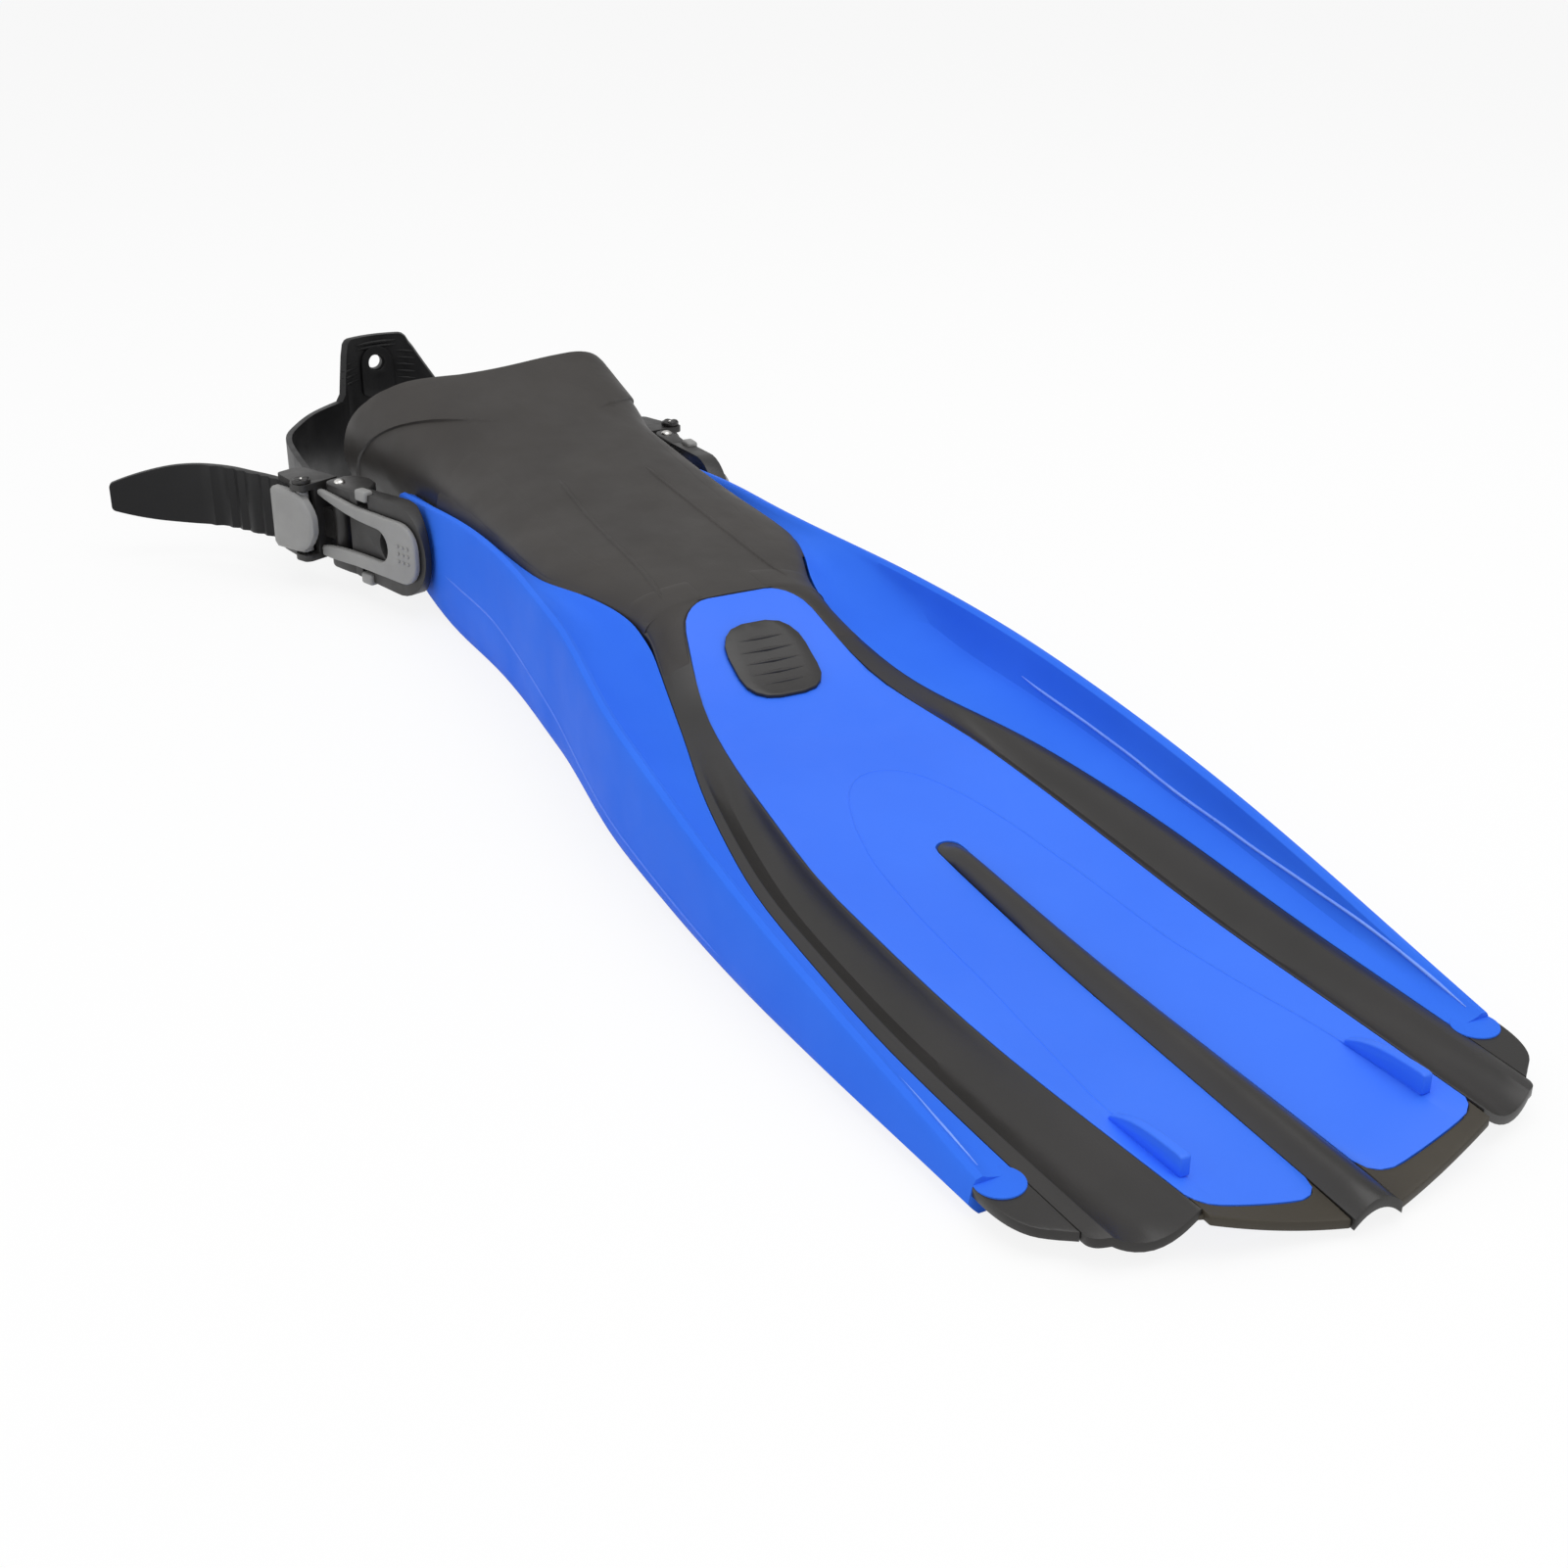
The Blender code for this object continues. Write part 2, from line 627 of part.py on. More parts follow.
# rubber inlay on the toe slope of the panel
def inlay_rows():
    rows = []
    radius = (INLAY_X1 - INLAY_X0) / 2
    middle = (INLAY_X0 + INLAY_X1) / 2
    for u in spread(-1.0, 1.0, 11, 0.8):
        x = middle + u * radius
        half = INLAY_HALF - round_loss(radius * (1 - abs(u)), radius * 0.7)
        across = [v * half for v in stations(-1.0, 1.0, 7)]
        rows.append([(x, y, blade_top(x, y) + INLAY_RISE + SEAM * 1.5) for y in across])
    return rows


plate("toe_inlay", inlay_rows(), INLAY_RISE, "rubber")


# side rails: a tall wall, its web towards the channel and a boss for the buckle
def rail_section(x):
    half = rail_half(x)
    top = rail_z(x)
    foot = rail_foot(x)
    inner = min(web_half(x), half - RAIL_WALL - SEAM)
    edge = min(web_z(x), top - 1.5)
    base = half - RAIL_WALL
    rise = edge + 0.22 * max(top - edge, 0.0)
    scoop = SCOOP * ease((x + 40.0) / 40.0) * (1 - ease((x - 20.0) / 70.0))
    section = []
    for f in (0.0, 0.25, 0.5, 0.75, 1.0):
        z = edge + (rise - edge) * f - scoop * math.sin(math.pi * f)
        section.append((inner + (base - inner) * f, z))
    section.append((base + 2.2, rise + 0.4 * (top - rise)))
    section.append((half - 5.0, top - 1.0))
    section.append((half - 3.4, top))
    section.append((half - 1.2, top - 0.5))
    section.append((half, top - 2.2))
    part = max(parting_z(x), foot + 2.0)
    section.append((half + RAIL_BULGE, part))
    section.append((half - 0.5, foot + min(4.0, (part - foot) * 0.5)))
    section.append((half - 2.5, foot))
    section.append((half - RAIL_WALL + 0.5, foot))
    under = rise - WEB_THICK
    section.append((base, min(foot + 2.5, under - 0.5)))
    section.append((base, under))
    for f in (0.66, 0.33, 0.0):
        z = edge + (rise - edge) * f - scoop * math.sin(math.pi * f) - WEB_THICK
        section.append((inner + (base - inner) * f, z))
    return [(x, y, z) for y, z in section]


TOE_MARKS = stations(POCKET_X[7], TOE_X, 11)
rail_marks = stations(RAIL_X[0], TOE_MARKS[0], 9)[:-1] + TOE_MARKS
rail_marks += [TOE_X + (RAIL_X[-1] - TOE_X) * (i / 18) ** 1.25 for i in range(1, 19)]
for side, label in ((1, "left"), (-1, "right")):
    rail = loft("side_rail_" + label, [rail_section(x) for x in rail_marks], "blue", flip=side < 0)
    boss = make("boss_form_" + label, rod(BOSS_R, BUCKLE_Y - 5.0, BOSS_Y, (STUD_X, STUD_Z), "y"),
                "blue", flip=side < 0, cutter=True)
    boolean(rail, boss, "UNION")


# foot pocket: rings from the open heel to the closed toe, given a wall
SOLE_TOP = GRIP_THICK + SEAM + SOLE_THICK
POCKET_FOOT_Z = SOLE_TOP + SEAM


def pocket_ring(x0):
    top = pocket_top(x0)
    half = pocket_half(x0)
    shoulder = pocket_shoulder(x0)
    foot_half = min(POCKET_FOOT_HALF, half - 2.0)
    r = POCKET_CORNER
    right = [(0.0, POCKET_FOOT_Z), (foot_half * 0.45, POCKET_FOOT_Z), (foot_half - r, POCKET_FOOT_Z)]
    for a in (30, 60, 90):
        angle = math.radians(a)
        right.append((foot_half - r + r * math.sin(angle), POCKET_FOOT_Z + r - r * math.cos(angle)))
    low = POCKET_FOOT_Z + r
    for f in (0.35, 0.7, 1.0):
        right.append((foot_half + (half - foot_half) * f, low + (shoulder - low) * f))
    for a in (82, 73, 62, 49, 36, 22, 0):
        y = half * math.sin(math.radians(a))
        z = shoulder + (top - shoulder) * (1 - (y / half) ** pocket_power(x0)) ** pocket_root(x0)
        right.append((y, z))
    ring = []
    for y, z in right + [(-y, z) for y, z in right[-2:0:-1]]:
        lean = pocket_lean(x0) * math.sin(math.pi / 2 * min(max((top - z) / 75.0, 0.0), 1.0))
        low = MOUTH_LOW * pocket_shift(x0) / POCKET_SHIFT[0]
        shift = pocket_shift(x0) * (low + (1 - low) * ease((z - 40.0) / 50.0))
        lift = pocket_lift(x0) * ease((z - 60.0) / 25.0) * (ease((y + 10.0) / 60.0) - 0.3)
        ring.append((x0 - lean, y + shift, z + lift))
    return ring


bm = bmesh.new()
pocket_marks = stations(POCKET_X[0], POCKET_X[4], 9)[:-1] + stations(POCKET_X[4], TOE_MARKS[0], 6)[:-1]
pocket_marks += TOE_MARKS
loops = [[bm.verts.new(p) for p in pocket_ring(x)] for x in pocket_marks]
for low, high in zip(loops, loops[1:]):
    for k in range(len(low)):
        n = (k + 1) % len(low)
        bm.faces.new((low[k], high[k], high[n], low[n]))
bm.faces.new(loops[-1])
foot_pocket = make("foot_pocket", bm, "rubber")
shell = foot_pocket.modifiers.new("wall", "SOLIDIFY")
shell.thickness = POCKET_WALL * MM
shell.offset = -1.0
shell.use_even_offset = True


# sole plate between the rails, rising to the blade in front of the toes, and the grip under it
def sole_half(x):
    if x < RAIL_X[0]:
        return rail_half(RAIL_X[0]) - RAIL_WALL - SEAM - 4.0 * ease((RAIL_X[0] - x) / 40.0)
    return rail_half(x) - RAIL_WALL - SEAM * 2


def sole_rows():
    rows = []
    lift = panel_z(SOLE_FRONT_X) - PANEL_THICK - SEAM * 3 - SOLE_TOP
    marks = stations(SOLE_REAR_X, SOLE_REAR_X + SOLE_CORNER, 4)
    marks += stations(RAIL_X[0] - SOLE_CORNER, SOLE_RISE_X, 9)
    for x in marks + stations(SOLE_RISE_X, SOLE_FRONT_X, 9)[1:]:
        z = SOLE_TOP + lift * ease((x - SOLE_RISE_X) / (SOLE_FRONT_X - SOLE_RISE_X) * 0.5) * 2
        half = sole_half(x) - round_loss(x - SOLE_REAR_X, SOLE_CORNER)
        rows.append([(x, v * half, z) for v in stations(-1.0, 1.0, 5)])
    return rows


plate("sole_plate", sole_rows(), SOLE_THICK, "blue")


def grip_rows():
    rows = []
    for x in stations(GRIP_REAR_X, GRIP_FRONT_X, 15):
        half = sole_half(x) - GRIP_INSET - round_loss(x - GRIP_REAR_X, GRIP_CORNER)
        half = half - round_loss(GRIP_FRONT_X - x, GRIP_CORNER)
        rows.append([(x, v * half, GRIP_THICK) for v in stations(-1.0, 1.0, 5)])
    return rows


plate("sole_grip", grip_rows(), GRIP_THICK, "rubber")


# buckles: pieces are drawn for the left side in the buckle's own axes, forward, outward and up
def arc(centre, radius, first, last, count):
    out = []
    for a in stations(first, last, count):
        angle = math.radians(a)
        out.append((centre[0] + radius * math.cos(angle), centre[1] + radius * math.sin(angle)))
    return out


FORK_MID = (FORK_TOP + FORK_GAP) / 2
FORK_R = (FORK_TOP - FORK_GAP) / 2


def frame_outline():
    upper = arc((0.0, 0.0), FRAME_R, 0, 97, 10)
    upper += [(-BUTTON_S - BUTTON_W, BUTTON_TOP - BUTTON_PROUD - 0.8), (-FRAME_NOTCH - 2.0, FORK_TOP)]
    upper += arc((-FORK_END + FORK_R, FORK_MID), FORK_R, 90, 270, 7)
    upper += [(-FRAME_NOTCH, FORK_GAP)]
    lower = [(x, -z) for x, z in upper[:0:-1]]
    return upper + lower


def clip_outline():
    r = CLIP_HALF * 0.8
    upper = arc((CLIP_FRONT - r, CLIP_HALF - r), r, 0, 90, 7)
    upper += [(-CLIP_WAIST_S, CLIP_HALF), (-CLIP_REAR + CLIP_CHAMFER, CLIP_HALF - CLIP_TAPER)]
    upper += [(-CLIP_REAR, CLIP_HALF - CLIP_TAPER - CLIP_CHAMFER)]
    upper += [(-CLIP_REAR, CLIP_SLOT_HALF)]
    upper += arc((-CLIP_SLOT_S - CLIP_SLOT_HALF, 0.0), CLIP_SLOT_HALF, 90, 0, 7)
    lower = [(x, -z) for x, z in upper[-2::-1]]
    return upper + lower


def lever_outline():
    rise = CARRIER_RISE
    half = STRAP_HIGH / 2 - 0.2
    top = arc((-LEVER_FRONT - half * 0.75, rise + half * 0.25), half * 0.75, 0, 90, 7)
    top += [(-LEVER_REAR + 2.0, rise + half), (-LEVER_REAR, rise + half - 2.0)]
    low = [(x, 2 * rise - z) for x, z in top[::-1]]
    return top + low


def carrier_plate():
    brow = LEVER_N + LEVER_CAP_R
    return [(-CARRIER_FRONT, -CARRIER_HALF_N), (-CARRIER_FRONT, brow - 1.2), (-CARRIER_FRONT - 2.0, brow),
            (-LEVER_S - 4.0, brow), (-LEVER_S - 6.5, brow - 3.6), (-CARRIER_REAR, CARRIER_HALF_N),
            (-CARRIER_REAR, -CARRIER_HALF_N + 3.0), (-CARRIER_REAR + 3.0, -CARRIER_HALF_N)]


SETTINGS = {1: ("left", TOE_OUT_LEFT, CARRIER_TURN_LEFT), -1: ("right", TOE_OUT_RIGHT, CARRIER_TURN_RIGHT)}
for side, (label, toe_out, turn) in SETTINGS.items():
    mirror = side < 0
    buckle = anchor("buckle_axis_" + label, (STUD_X, side * BUCKLE_Y, STUD_Z), -side * toe_out)
    make("buckle_stud_" + label, rod(STUD_R, BOSS_Y + SEAM, STUD_END_Y, (STUD_X, STUD_Z), "y"),
         "black", flip=mirror)

    frame = make("buckle_frame_" + label, prism(frame_outline(), FRAME_IN, FRAME_OUT, "y"),
                 "black", parent=buckle, flip=mirror)
    bore = make("stud_bore_" + label, rod(STUD_R + RUN, BUCKLE_Y - 10, BUCKLE_Y + 40, (STUD_X, STUD_Z), "y"),
                "black", flip=mirror, cutter=True)
    boolean(frame, bore, "DIFFERENCE")
    relief = make("boss_relief_" + label, block(STUD_X - 90, STUD_X + 60, BUCKLE_Y - 40, BOSS_Y + RUN,
                                                STUD_Z - 60, STUD_Z + 60), "black", flip=mirror, cutter=True)
    boolean(frame, relief, "DIFFERENCE")
    hole = make("hinge_bore_" + label, rod(HINGE_R + RUN, -40, 40, (-HINGE_S, HINGE_N), "z"),
                "black", parent=buckle, flip=mirror, cutter=True)
    boolean(frame, hole, "DIFFERENCE")
    reach = BUTTON_W / 2 + RUN
    for up, word in ((1, "upper"), (-1, "lower")):
        ends = sorted((up * (BUTTON_FOOT - BUTTON_TRAVEL - RUN), up * 40.0))
        window = make("window_" + word + "_" + label,
                      block(-BUTTON_S - reach, -BUTTON_S + reach, BUTTON_IN - RUN, FRAME_OUT + 2.0, *ends),
                      "black", parent=buckle, flip=mirror, cutter=True)
        boolean(frame, window, "DIFFERENCE")
        ends = sorted((up * BUTTON_FOOT, up * BUTTON_TOP))
        make("release_button_" + word + "_" + label,
             block(-BUTTON_S - BUTTON_W / 2, -BUTTON_S + BUTTON_W / 2,
                   BUTTON_IN, FRAME_OUT + BUTTON_PROUD, *ends),
             "grey", parent=buckle, flip=mirror)

    make("release_clip_" + label, prism(clip_outline(), FRAME_OUT + SEAM, FRAME_OUT + SEAM + CLIP_THICK, "y"),
         "grey", parent=buckle, flip=mirror)

    pin_end = FORK_TOP + SEAM + HINGE_HEAD / 2
    pin = make("hinge_pin_" + label, rod(HINGE_R, -pin_end, pin_end, (-HINGE_S, HINGE_N), "z"),
               "steel", parent=buckle, flip=mirror)
    for up in (1, -1):
        ends = sorted((up * (FORK_TOP + SEAM), up * (FORK_TOP + SEAM + HINGE_HEAD)))
        head = make("hinge_head_form", rod(HINGE_HEAD_R, *ends, (-HINGE_S, HINGE_N), "z", 16),
                    "steel", parent=buckle, flip=mirror, cutter=True)
        boolean(pin, head, "UNION")

    hinge = anchor("carrier_axis_" + label, (-HINGE_S, side * HINGE_N, 0.0), -side * turn, buckle)
    inside = STRAP_HIGH / 2 + SEAM * 2
    top = CARRIER_RISE + inside
    low = CARRIER_RISE - inside
    carrier = make("strap_carrier_" + label, rod(KNUCKLE_R, -FORK_GAP + RUN, FORK_GAP - RUN, (0, 0), "z"),
                   "black", parent=hinge, flip=mirror)
    forms = [block(-CARRIER_FRONT - 1.0, -2.0, -TONGUE_THICK / 2, TONGUE_THICK / 2,
                   -TONGUE_HALF, TONGUE_HALF),
             block(-CARRIER_FRONT - CARRIER_WALL, -CARRIER_FRONT, -CARRIER_HALF_N, CARRIER_HALF_N,
                   low - PLATE_THICK / 2, top + PLATE_THICK / 2),
             prism(carrier_plate(), top, top + PLATE_THICK, "z"),
             prism(carrier_plate(), low - PLATE_THICK, low, "z"),
             rod(BAR_R, low - 1.0, top + 1.0, (-BAR_S, 0.0), "z", 16)]
    for form in forms:
        shape = make("carrier_form", form, "black", parent=hinge, flip=mirror, cutter=True)
        boolean(carrier, shape, "UNION")
    bores = [rod(HINGE_R + RUN, -40, 40, (0, 0), "z"),
             rod(LEVER_PIN_R + RUN, -40, 40, (-LEVER_S, LEVER_N), "z", 16)]
    for form in bores:
        shape = make("carrier_bore", form, "black", parent=hinge, flip=mirror, cutter=True)
        boolean(carrier, shape, "DIFFERENCE")

    swing = anchor("lever_axis_" + label, (-LEVER_S, side * LEVER_N, 0.0), 0.0, hinge)
    cap_foot = top + PLATE_THICK + SEAM
    shank = rod(LEVER_PIN_R, low - PLATE_THICK - 0.6, cap_foot + LEVER_CAP / 2, (-LEVER_S, LEVER_N), "z", 16)
    lever_pin = make("lever_pin_" + label, shank, "black", parent=hinge, flip=mirror)
    head = rod(LEVER_CAP_R, cap_foot, cap_foot + LEVER_CAP, (-LEVER_S, LEVER_N), "z", 20)
    cap = make("lever_cap_form", head, "black", parent=hinge, flip=mirror, cutter=True)
    boolean(lever_pin, cap, "UNION")

    knuckle = rod(LEVER_KNUCKLE_R, low + RUN, top - RUN, (-LEVER_S, LEVER_N), "z", 20)
    paddle = prism(lever_outline(), LEVER_FACE, LEVER_FACE + LEVER_THICK, "y")
    pawl = prism([(-PAWL_S - 2.2, LEVER_FACE + 1.0), (-PAWL_S - 0.6, PAWL_FOOT), (-PAWL_S + 0.6, PAWL_FOOT),
                  (-PAWL_S + 2.2, LEVER_FACE + 1.0)], CARRIER_RISE - 12.0, CARRIER_RISE + 12.0, "z")
    bore = rod(LEVER_PIN_R + RUN, -40, 40, (-LEVER_S, LEVER_N), "z", 16)
    for form in (knuckle, paddle, pawl, bore):
        bmesh.ops.translate(form, vec=(LEVER_S, -LEVER_N, 0.0), verts=form.verts)
    lever = make("strap_lever_" + label, paddle, "grey", parent=swing, flip=mirror)
    for form, act in ((knuckle, "UNION"), (pawl, "UNION"), (bore, "DIFFERENCE")):
        shape = make("lever_form", form, "grey", parent=swing, flip=mirror, cutter=True)
        boolean(lever, shape, act)


# heel strap: one ribbon from tail to tail, round both cross bars and the heel
def carrier_point(side, s, n):
    """A point of the carrier's own plan, rearward s and outward n of the hinge, in the fin's plan."""
    toe_out, turn = SETTINGS[side][1:]
    toe = math.radians(toe_out)
    back = Vector((-math.cos(toe), side * math.sin(toe)))
    out = Vector((math.sin(toe), side * math.cos(toe)))
    hinge_at = Vector((STUD_X, side * BUCKLE_Y)) + back * HINGE_S + out * HINGE_N
    angle = math.radians(toe_out + turn)
    back = Vector((-math.cos(angle), side * math.sin(angle)))
    out = Vector((math.sin(angle), side * math.cos(angle)))
    return hinge_at + back * s + out * n


def smooth_path(points, step):
    """A smooth line through points, read at even steps."""
    pts = [Vector(p) for p in points]
    ends = [pts[0] * 2 - pts[1]] + pts + [pts[-1] * 2 - pts[-2]]
    out = []
    for i in range(1, len(ends) - 2):
        a, b, c, d = ends[i - 1:i + 3]
        count = max(int((c - b).length / step), 1)
        for k in range(count):
            t = k / count
            out.append(0.5 * ((2 * b) + (c - a) * t + (2 * a - 5 * b + 4 * c - d) * t * t
                              + (3 * b - a - 3 * c + d) * t ** 3))
    out.append(pts[-1])
    return out


def bar_wrap(side, leave):
    """Points round the front of a cross bar, from the tail's leg to where the strap leaves inward."""
    out = []
    for a in stations(90.0, -90.0 - leave, 9):
        angle = math.radians(a)
        out.append(carrier_point(side, BAR_S - LEG * math.cos(angle), LEG * math.sin(angle)))
    return out


RIGHT_TAIL = ((119.0, 44.0), (113.0, 37.0), (106.0, 29.0), (97.0, 19.5), (85.0, 11.5), (72.0, 7.0),
              (58.0, 5.6))
LEFT_TAIL = ((62.0, 5.0), (80.0, 6.0), (96.0, 7.5))
HEEL = ((-290.0, -91.5), (-314.0, -87.0), (-331.0, -78.5), (-353.0, -63.0), (-377.0, -41.0),
        (HEEL_X, HEEL_Y), (-381.0, 8.0), (-362.0, 35.0), (-334.0, 57.0), (-296.0, 69.0))
GRIPPED = ((BAR_S + 4.0, LEG), (45.0, LEG))      # the stretch of a tail held in its carrier
right_tail = [carrier_point(-1, s, n) for s, n in RIGHT_TAIL + GRIPPED[::-1]]
left_tail = [carrier_point(1, s, n) for s, n in GRIPPED + LEFT_TAIL]
wrap_right = bar_wrap(-1, 28.0)
wrap_left = bar_wrap(1, 2.0)[::-1]
path = smooth_path(right_tail, 3.0)
tail_count = len(path)
path += wrap_right
band = smooth_path([wrap_right[-1]] + [Vector(p) for p in HEEL] + [wrap_left[0]], 1.6)
heel_at = Vector((HEEL_X, HEEL_Y))
away = [(p - heel_at).length for p in band]
every = [1 if TAB_TOP_HALF - TAB_CORNER < d < TAB_FOOT_HALF else 2 if d < TAB_TOP_HALF else 4 for d in away]
band = [p for i, p in enumerate(band) if i % every[i] == 0]
path += band[1:-1]
path += wrap_left
far_start = len(path)
path += smooth_path(left_tail, 3.0)

runs = [0.0]
for a, b in zip(path, path[1:]):
    runs.append(runs[-1] + (b - a).length)
heel_run = min(range(len(path)), key=lambda i: (path[i] - Vector((HEEL_X, HEEL_Y))).length)
heel_run = runs[heel_run]
STRAP_Z = STUD_Z + CARRIER_RISE


def tab_rise(q):
    """How far the pull tab stands above the strap at a distance along it from the heel."""
    full = TAB_TOP_Z - STRAP_Z - STRAP_HIGH / 2
    d = abs(q)
    if d < TAB_TOP_HALF:
        return full - round_loss(TAB_TOP_HALF - d, TAB_CORNER)
    if d < TAB_FOOT_HALF:
        share = (d - TAB_TOP_HALF) / (TAB_FOOT_HALF - TAB_TOP_HALF)
        fall = 0.45 * share + 0.55 * ease(share)
        return (full - TAB_CORNER) - (TAB_FOOT_DIP + full - TAB_CORNER) * fall
    return -TAB_FOOT_DIP * (1 - ease((d - TAB_FOOT_HALF) / TAB_FOOT_RUN))


def tooth(distance):
    """Extra thickness of the ribbed stretch of a tail, by distance along it."""
    if distance < 0 or distance > TEETH * TOOTH_PITCH:
        return 0.0
    return TOOTH_RISE if (distance % TOOTH_PITCH) > TOOTH_PITCH / 2 else 0.0


rings = []
total = runs[-1]
first_teeth = runs[tail_count - 1] - 10.0 - TEETH * TOOTH_PITCH
last_teeth = runs[far_start] + 10.0
for i, p in enumerate(path):
    a = path[max(i - 1, 0)]
    b = path[min(i + 1, len(path) - 1)]
    along = (b - a).normalized()
    right = Vector((along.y, -along.x))
    edge = min(runs[i], total - runs[i])
    taper = 1 - (1 - min(edge / TAIL_TAPER, 1.0)) ** 2
    high = TAIL_TIP_HIGH + (STRAP_HIGH - TAIL_TIP_HIGH) * taper
    q = runs[i] - heel_run
    pad = STRAP_PAD * (1 - ease((abs(q) - 20.0) / 40.0))
    grow = tooth(runs[i] - first_teeth) + tooth(runs[i] - last_teeth)
    near = STRAP_THICK / 2 + grow + pad / 2
    far = STRAP_THICK / 2 + pad / 2
    z0 = STRAP_Z - high / 2 - HEEL_PAD_DROP * (1 - ease((abs(q) - HEEL_PAD_HALF) / HEEL_PAD_RUN))
    z1 = STRAP_Z + high / 2 + tab_rise(q)
    ring = []
    for off, z in ((near, z0), (near, z1), (-far, z1), (-far, z0)):
        spot = p + right * off
        ring.append((spot.x, spot.y, z))
    rings.append(ring)
heel_strap = loft("heel_strap", rings, "black")
eye = rod(TAB_HOLE_R, -20.0, 20.0, (0.0, 0.0), "y", 20)
bmesh.ops.rotate(eye, matrix=Matrix.Rotation(math.pi / 2, 3, "Z"), verts=eye.verts)
bmesh.ops.translate(eye, vec=(HEEL_X, HEEL_Y, TAB_HOLE_Z), verts=eye.verts)
boolean(heel_strap, make("tab_hole", eye, "black", cutter=True), "DIFFERENCE")
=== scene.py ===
# %% [markdown]
# # A diver's fin with a strap, dressed for its portrait
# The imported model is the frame: every solid already has its size and its place, in metres.
# This lesson copies each solid, rounds and details the copy as a moulder would, and gives it
# a finish. The copies start where the solids are, so none of them has to be moved into place.

# %% Load the frame
import bpy
import bmesh
import json
import math
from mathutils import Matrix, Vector


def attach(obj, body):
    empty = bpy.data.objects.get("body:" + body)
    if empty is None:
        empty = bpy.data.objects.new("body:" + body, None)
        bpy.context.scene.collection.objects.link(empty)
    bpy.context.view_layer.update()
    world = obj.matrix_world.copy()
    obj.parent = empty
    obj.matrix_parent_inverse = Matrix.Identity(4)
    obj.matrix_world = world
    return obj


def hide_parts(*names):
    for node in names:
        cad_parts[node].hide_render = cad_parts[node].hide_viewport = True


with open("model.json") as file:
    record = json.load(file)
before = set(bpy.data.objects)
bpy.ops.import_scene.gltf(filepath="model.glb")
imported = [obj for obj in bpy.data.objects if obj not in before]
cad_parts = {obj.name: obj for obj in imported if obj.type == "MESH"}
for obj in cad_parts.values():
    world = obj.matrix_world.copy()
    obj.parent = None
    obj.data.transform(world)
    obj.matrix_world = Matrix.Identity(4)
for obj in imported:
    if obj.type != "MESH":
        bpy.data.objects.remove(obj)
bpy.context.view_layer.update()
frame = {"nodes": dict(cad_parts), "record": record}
print("solids in the frame:", len(frame["nodes"]))

# %% [markdown]
# ## The camera and the light
# The photograph looks along the blade from the tip, about 25 degrees above the floor, through a
# lens of roughly 48 mm. A studio shot like this has one broad soft light overhead and white
# all round, so the world is white to the camera and dimmer as a lamp. To a reflection it is
# brighter on the near side than on the far side, which gives the rubber its sheen. The floor
# is clear from below, so that the sole can be looked at too.

# %% Camera
LENS, SENSOR = 48.19, 36.0
AZIMUTH, ELEVATION = math.radians(62.28), math.radians(25.16)
AIM, DISTANCE = Vector((0.009785, 0.026355, -0.036635)), 0.8883
camera_data = bpy.data.cameras.new("portrait_camera")
camera_data.lens, camera_data.sensor_width = LENS, SENSOR
camera = bpy.data.objects.new("portrait_camera", camera_data)
bpy.context.scene.collection.objects.link(camera)
away = Vector((math.sin(AZIMUTH) * math.cos(ELEVATION), -math.cos(AZIMUTH) * math.cos(ELEVATION),
               math.sin(ELEVATION)))
camera.location = AIM + away * DISTANCE
camera.rotation_euler = away.to_track_quat("Z", "Y").to_euler()
bpy.context.scene.camera = camera
bpy.context.scene.view_settings.view_transform = "Standard"
print("camera at", [round(v, 3) for v in camera.location])

# %% Soft lamps
def soft_lamp(name, place, aim, size, power):
    """A square lamp panel that faces a point."""
    lamp = bpy.data.lights.new(name, "AREA")
    lamp.shape, lamp.size, lamp.energy = "SQUARE", size, power
    panel = bpy.data.objects.new(name, lamp)
    panel.location = place
    panel.rotation_euler = (Vector(place) - Vector(aim)).to_track_quat("Z", "Y").to_euler()
    bpy.context.scene.collection.objects.link(panel)


soft_lamp("overhead_panel", (0.35, 0.25, 1.6), (0.05, 0.0, 0.0), size=1.6, power=15.5)
soft_lamp("tip_panel", (1.5, -0.5, 0.7), (0.1, 0.0, 0.0), size=0.9, power=1.5)
soft_lamp("side_panel", (-0.05, -1.5, 0.5), (0.0, 0.0, 0.02), size=1.2, power=4.0)
print("lamps:", len(bpy.data.lights))

# %% White room
def swap_for(tree, ray, usual, special):
    """Shows the special shader to one kind of ray and the usual one to all others."""
    path = tree.nodes.new("ShaderNodeLightPath")
    swap = tree.nodes.new("ShaderNodeMixShader")
    tree.links.new(path.outputs[ray], swap.inputs[0])
    tree.links.new(usual.outputs[0], swap.inputs[1])
    tree.links.new(special.outputs[0], swap.inputs[2])
    return swap


